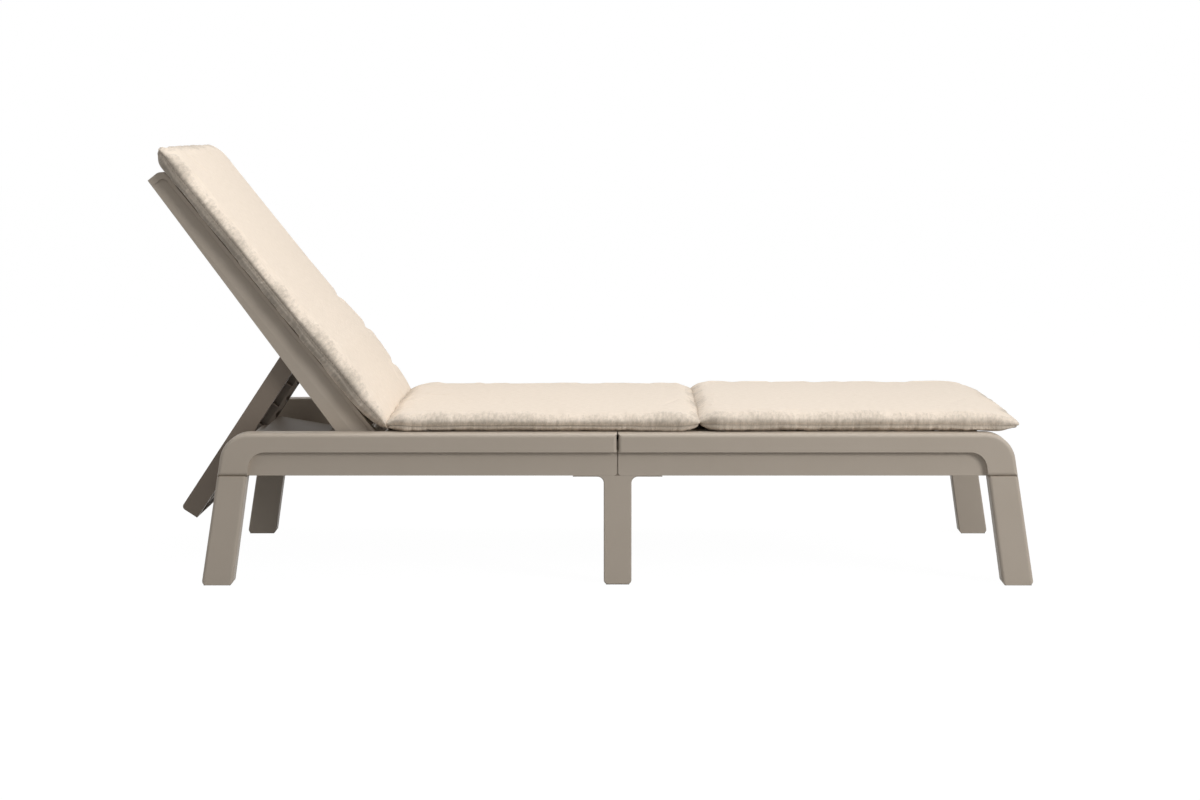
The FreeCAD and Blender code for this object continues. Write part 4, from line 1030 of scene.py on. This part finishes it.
@dataclass
class Cushion:
    """The sectioned cushion: back, seat and leg sections in the places of their solids."""

    back_overhang: float = 28 * MM
    beam_length: float = 688 * MM
    back_lift: float = 28.3 * MM

    def build(self) -> None:
        """Make the three sections, let the seat and leg sections ride on their body, and sew their seams."""
        cloth = WovenFabric().material()
        thread = SEWING_THREAD.material()
        seams: dict[Body, list[np.ndarray]] = {}
        bends: dict[Body, Bend | None] = {}
        for section in (self.seat(), self.legs(), self.back()):
            piece = section.build(cloth)
            seams.setdefault(section.body, []).append(section.seam_line(piece))
            bends[section.body] = section.bend()
        for body, loops in seams.items():
            Stitching(f"seam_stitches_{body.value}", body, bends[body]).build(loops, thread)

    def seat(self) -> CushionSection:
        """Describe the seat section."""
        low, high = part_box("cushion_seat")
        return CushionSection(
            "cushion_seat_section", "cushion_seat", Body.BASE, Vector((0, 0, low.z)), 0.0, low.x, high.x,
            CushionEnd(0.040, 0.004, 5 * MM), CushionEnd(0.030, 0.010, 4 * MM), 0.033, 11,
            (Crease((-0.405, 0.20), (-0.29, 0.12), 2.2 * MM), Crease((-0.40, 0.02), (-0.30, -0.02), 1.6 * MM),
             Crease((-0.40, -0.16), (-0.34, -0.04), 1.8 * MM), Crease((0.12, 0.22), (0.20, 0.10), 1.5 * MM),
             Crease((0.14, -0.20), (0.19, -0.04), 1.6 * MM)))

    def legs(self) -> CushionSection:
        """Describe the leg section."""
        low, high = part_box("cushion_legs")
        return CushionSection(
            "cushion_leg_section", "cushion_legs", Body.BASE, Vector((0, 0, low.z)), 0.0, low.x, high.x,
            CushionEnd(0.030, 0.010, 4 * MM), CushionEnd(0.075, 0.005, 8 * MM), 0.036, 23,
            (Crease((0.24, 0.24), (0.33, 0.16), 1.2 * MM), Crease((0.72, -0.20), (0.80, -0.06), 1.4 * MM)))

    def back(self) -> CushionSection:
        """Describe the back section, in the frame that turns with the backrest."""
        hinge = Vector(frame["joints"][0]["pos_m"])
        angle = frame["joints"][0]["range_deg"][1]
        lift = Matrix.Rotation(math.radians(angle), 3, "Y") @ Vector((0, 0, self.back_lift))
        return CushionSection(
            "cushion_back_section", "cushion_back", Body.BACKREST, hinge + lift, angle,
            -self.beam_length - self.back_overhang, 0.001,
            CushionEnd(0.024, 0.015, 10 * MM), CushionEnd(0.080, 0.020, 4 * MM), 0.038, 37,
            (Crease((-0.70, -0.22), (-0.63, -0.12), 2.2 * MM, 6 * MM),
             Crease((-0.12, 0.22), (-0.04, 0.14), 1.8 * MM, 6 * MM),
             Crease((-0.31, 0.36), (-0.26, 0.20), 4.0 * MM, 9 * MM),
             Crease((-0.21, 0.38), (-0.17, 0.18), 6.0 * MM, 10 * MM),
             Crease((-0.10, 0.38), (-0.08, 0.20), 5.0 * MM, 9 * MM)),
            slack_edge=3.2 * MM, overhang=15 * MM, under_lift=5 * MM, seam_shift=6 * MM, joined_to=Body.BASE,
            voxel=6.4 * MM)


# Rigid pieces

@dataclass(frozen=True)
class SlatRow:
    """A row of equal slats, repeated from the first one with softened edges."""

    name: str
    nodes: tuple[str, ...]
    slot: str
    body: Body
    edge: float = 1.2 * MM

    def build(self, material: bpy.types.Material) -> None:
        """Make the row in the places of its solids.

        Args:
            material: The resin.
        """
        low_first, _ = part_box(self.nodes[0])
        low_last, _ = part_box(self.nodes[-1])
        step = (low_last - low_first) / (len(self.nodes) - 1)
        piece = new_piece(self.name, merged_copy(self.nodes[0], 0.01 * MM, flatten=True))
        soft = piece.modifiers.new("soft", "BEVEL")
        soft.width = self.edge
        soft.segments = 2
        soft.limit_method = "ANGLE"
        soft.angle_limit = math.radians(40)
        grow(piece, self.tree(), {"Count": len(self.nodes), "Step": list(step), "Material": material})
        shade(piece, material)
        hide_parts(*self.nodes)
        hand_over(piece, self.body)

    def tree(self) -> bpy.types.NodeTree:
        """Build the tree: the given slat repeated at equal steps.

        Returns:
            A tree with the inputs Count, Step and Material.
        """
        tree, given = start_tree("slat_row", {
            "Count": "NodeSocketInt", "Step": "NodeSocketVector", "Material": "NodeSocketMaterial"})
        line = add_node(tree, "GeometryNodeMeshLine", {
            "Count": given.outputs["Count"], "Offset": given.outputs["Step"]}, mode="OFFSET")
        laid = add_node(tree, "GeometryNodeInstanceOnPoints", {
            "Points": line.outputs[0], "Instance": given.outputs[0]})
        end_tree(tree, laid.outputs[0], given)
        return tree


@dataclass
class Frame:
    """The moulded frame, whose solids keep their shapes and get their finishes."""

    seat_slats: int = 14
    back_slats: int = 7

    def build(self) -> None:
        """Lay the slat rows, and dress every other rigid solid."""
        resin = MouldedResin().material()
        # A darker copy of the resin for the prop and the two crossbars: painted shade where these parts lie in the
        # shadow of the backrest and cushion.
        painted_shade_resin = MouldedResin("moulded_resin_painted_shade", "#83766A", "#7B6F62").material()
        painted_shade_crossbars = ("head_crossbar", "middle_crossbar")
        seat = tuple(f"seat_slat_{index:02d}" for index in range(1, self.seat_slats + 1))
        back = tuple(f"backrest_slat_{index}" for index in range(1, self.back_slats + 1))
        SlatRow("seat_slats", seat, "slat_resin", Body.BASE).build(resin)
        SlatRow("backrest_slats", back, "backrest_resin", Body.BACKREST).build(resin)
        plastic = SOFT_PLASTIC.material()
        steel = StainlessSteel().material()
        for name, node in frame["nodes"].items():
            if node.hide_render:
                continue
            if name == "leg_glides":
                chosen = plastic
            elif name in ("frame_bolts", "hinge_pins", "prop_pins"):
                chosen = steel
            else:
                # The prop and the crossbars get the darker copy with painted shade.
                chosen = painted_shade_resin if name.startswith("prop_") or name in painted_shade_crossbars else resin
            for slot in node.material_slots:
                slot.material = chosen
            log.info("dressed %s", name)


# Studio

@dataclass(frozen=True)
class Lamp:
    """A round soft lamp that looks at the middle of the lounger."""

    name: str
    place: tuple[float, float, float]
    size: float
    power: float

    def build(self) -> None:
        """Put the lamp in the scene."""
        data = bpy.data.lights.new(self.name, "AREA")
        data.shape = "DISK"
        data.size = self.size
        data.energy = self.power
        lamp = bpy.data.objects.new(self.name, data)
        lamp.location = self.place
        aim = Vector((0.0, 0.0, 0.3)) - lamp.location
        lamp.rotation_euler = aim.to_track_quat("-Z", "Y").to_euler()
        bpy.context.scene.collection.objects.link(lamp)


def shown_rays(tree: bpy.types.NodeTree) -> tuple[bpy.types.Node, bpy.types.Node]:
    """Add the light path, and the share of rays that show the backdrop as it looks.

    Args:
        tree: Shader tree of the world or the floor.

    Returns:
        The Light Path node, and a node that gives 1 for camera and glossy rays.
    """
    path = add_node(tree, "ShaderNodeLightPath")
    return path, add_node(tree, "ShaderNodeMath", {
        0: path.outputs["Is Camera Ray"], 1: path.outputs["Is Glossy Ray"]}, operation="MAXIMUM")


@dataclass
class Studio:
    """White floor and backdrop, soft light from above the foot end, and the camera at the photograph's view."""

    lens_mm: float = 74.12
    camera_place: tuple[float, float, float] = (0.050862, -5.2482, 0.92539)
    tilt_degrees: float = 6.376
    shift: float = -0.01467
    sky: float = 0.29
    lamps: tuple[Lamp, ...] = (
        Lamp("overhead", (0.1, -0.35, 3.1), 1.9, 42.5),
        Lamp("key", (3.8, -3.3, 2.3), 1.8, 128.0),
        Lamp("fill", (-2.6, -1.6, 2.2), 1.6, 7.0),
    )
    floor_bounce: float = 0.35
    floor_shadow: float = 0.16
    floor_glow: float = 1.17

    def build(self) -> None:
        """Make the camera, the lights, the world and the floor."""
        self.camera()
        for lamp in self.lamps:
            lamp.build()
        self.world()
        self.floor()
        bpy.context.scene.view_settings.view_transform = "Standard"

    def camera(self) -> None:
        """Place the camera."""
        data = bpy.data.cameras.new("view")
        data.lens = self.lens_mm
        data.shift_x = self.shift
        eye = bpy.data.objects.new("view", data)
        eye.location = self.camera_place
        eye.rotation_euler = (math.radians(90 - self.tilt_degrees), 0, 0)
        bpy.context.scene.collection.objects.link(eye)
        bpy.context.scene.camera = eye

    def world(self) -> None:
        """Make a soft sky that the camera and mirrors see as plain white."""
        world = bpy.data.worlds.new("studio")
        world.use_nodes = True
        tree = world.node_tree
        tree.nodes.clear()
        path, seen = shown_rays(tree)
        seen = add_node(tree, "ShaderNodeMath", {0: seen.outputs[0], 1: path.outputs["Is Transmission Ray"]},
                        operation="MAXIMUM")
        light = add_node(tree, "ShaderNodeBackground", {"Color": (1, 1, 1, 1), "Strength": self.sky})
        white = add_node(tree, "ShaderNodeBackground", {"Color": (1, 1, 1, 1), "Strength": 1.0})
        mixed = add_node(tree, "ShaderNodeMixShader", {0: seen.outputs[0], 1: light.outputs[0], 2: white.outputs[0]})
        add_node(tree, "ShaderNodeOutputWorld", {"Surface": mixed.outputs[0]})
        bpy.context.scene.world = world

    def floor(self) -> None:
        """Make a wide pale floor that looks white and keeps a faint shadow."""
        mesh = bpy.data.meshes.new("floor")
        half = 30.0
        mesh.from_pydata([(-half, -half, 0), (half, -half, 0), (half, half, 0), (-half, half, 0)], [], [(0, 1, 2, 3)])
        floor = new_piece("floor", mesh)
        floor.location.z = -0.0005
        made, tree = start_material("pale_floor")
        _, seen = shown_rays(tree)
        share = add_node(tree, "ShaderNodeMath", {0: seen.outputs[0], 1: 1 - self.floor_shadow}, operation="MULTIPLY")
        grey = (self.floor_bounce, self.floor_bounce, self.floor_bounce, 1)
        plain = add_node(tree, "ShaderNodeBsdfDiffuse", {"Color": grey})
        glow = add_node(tree, "ShaderNodeEmission", {"Color": (1, 1, 1, 1), "Strength": self.floor_glow})
        mixed = add_node(tree, "ShaderNodeMixShader", {0: share.outputs[0], 1: plain.outputs[0], 2: glow.outputs[0]})
        add_node(tree, "ShaderNodeOutputMaterial", {"Surface": mixed.outputs[0]})
        mesh.materials.append(made)


def main() -> None:
    """Build the lounger and its studio in order."""
    logging.basicConfig(level=logging.INFO, format="%(name)s: %(message)s")
    Studio().build()
    Cushion().build()
    Frame().build()


if __name__ == "__main__":
    main()
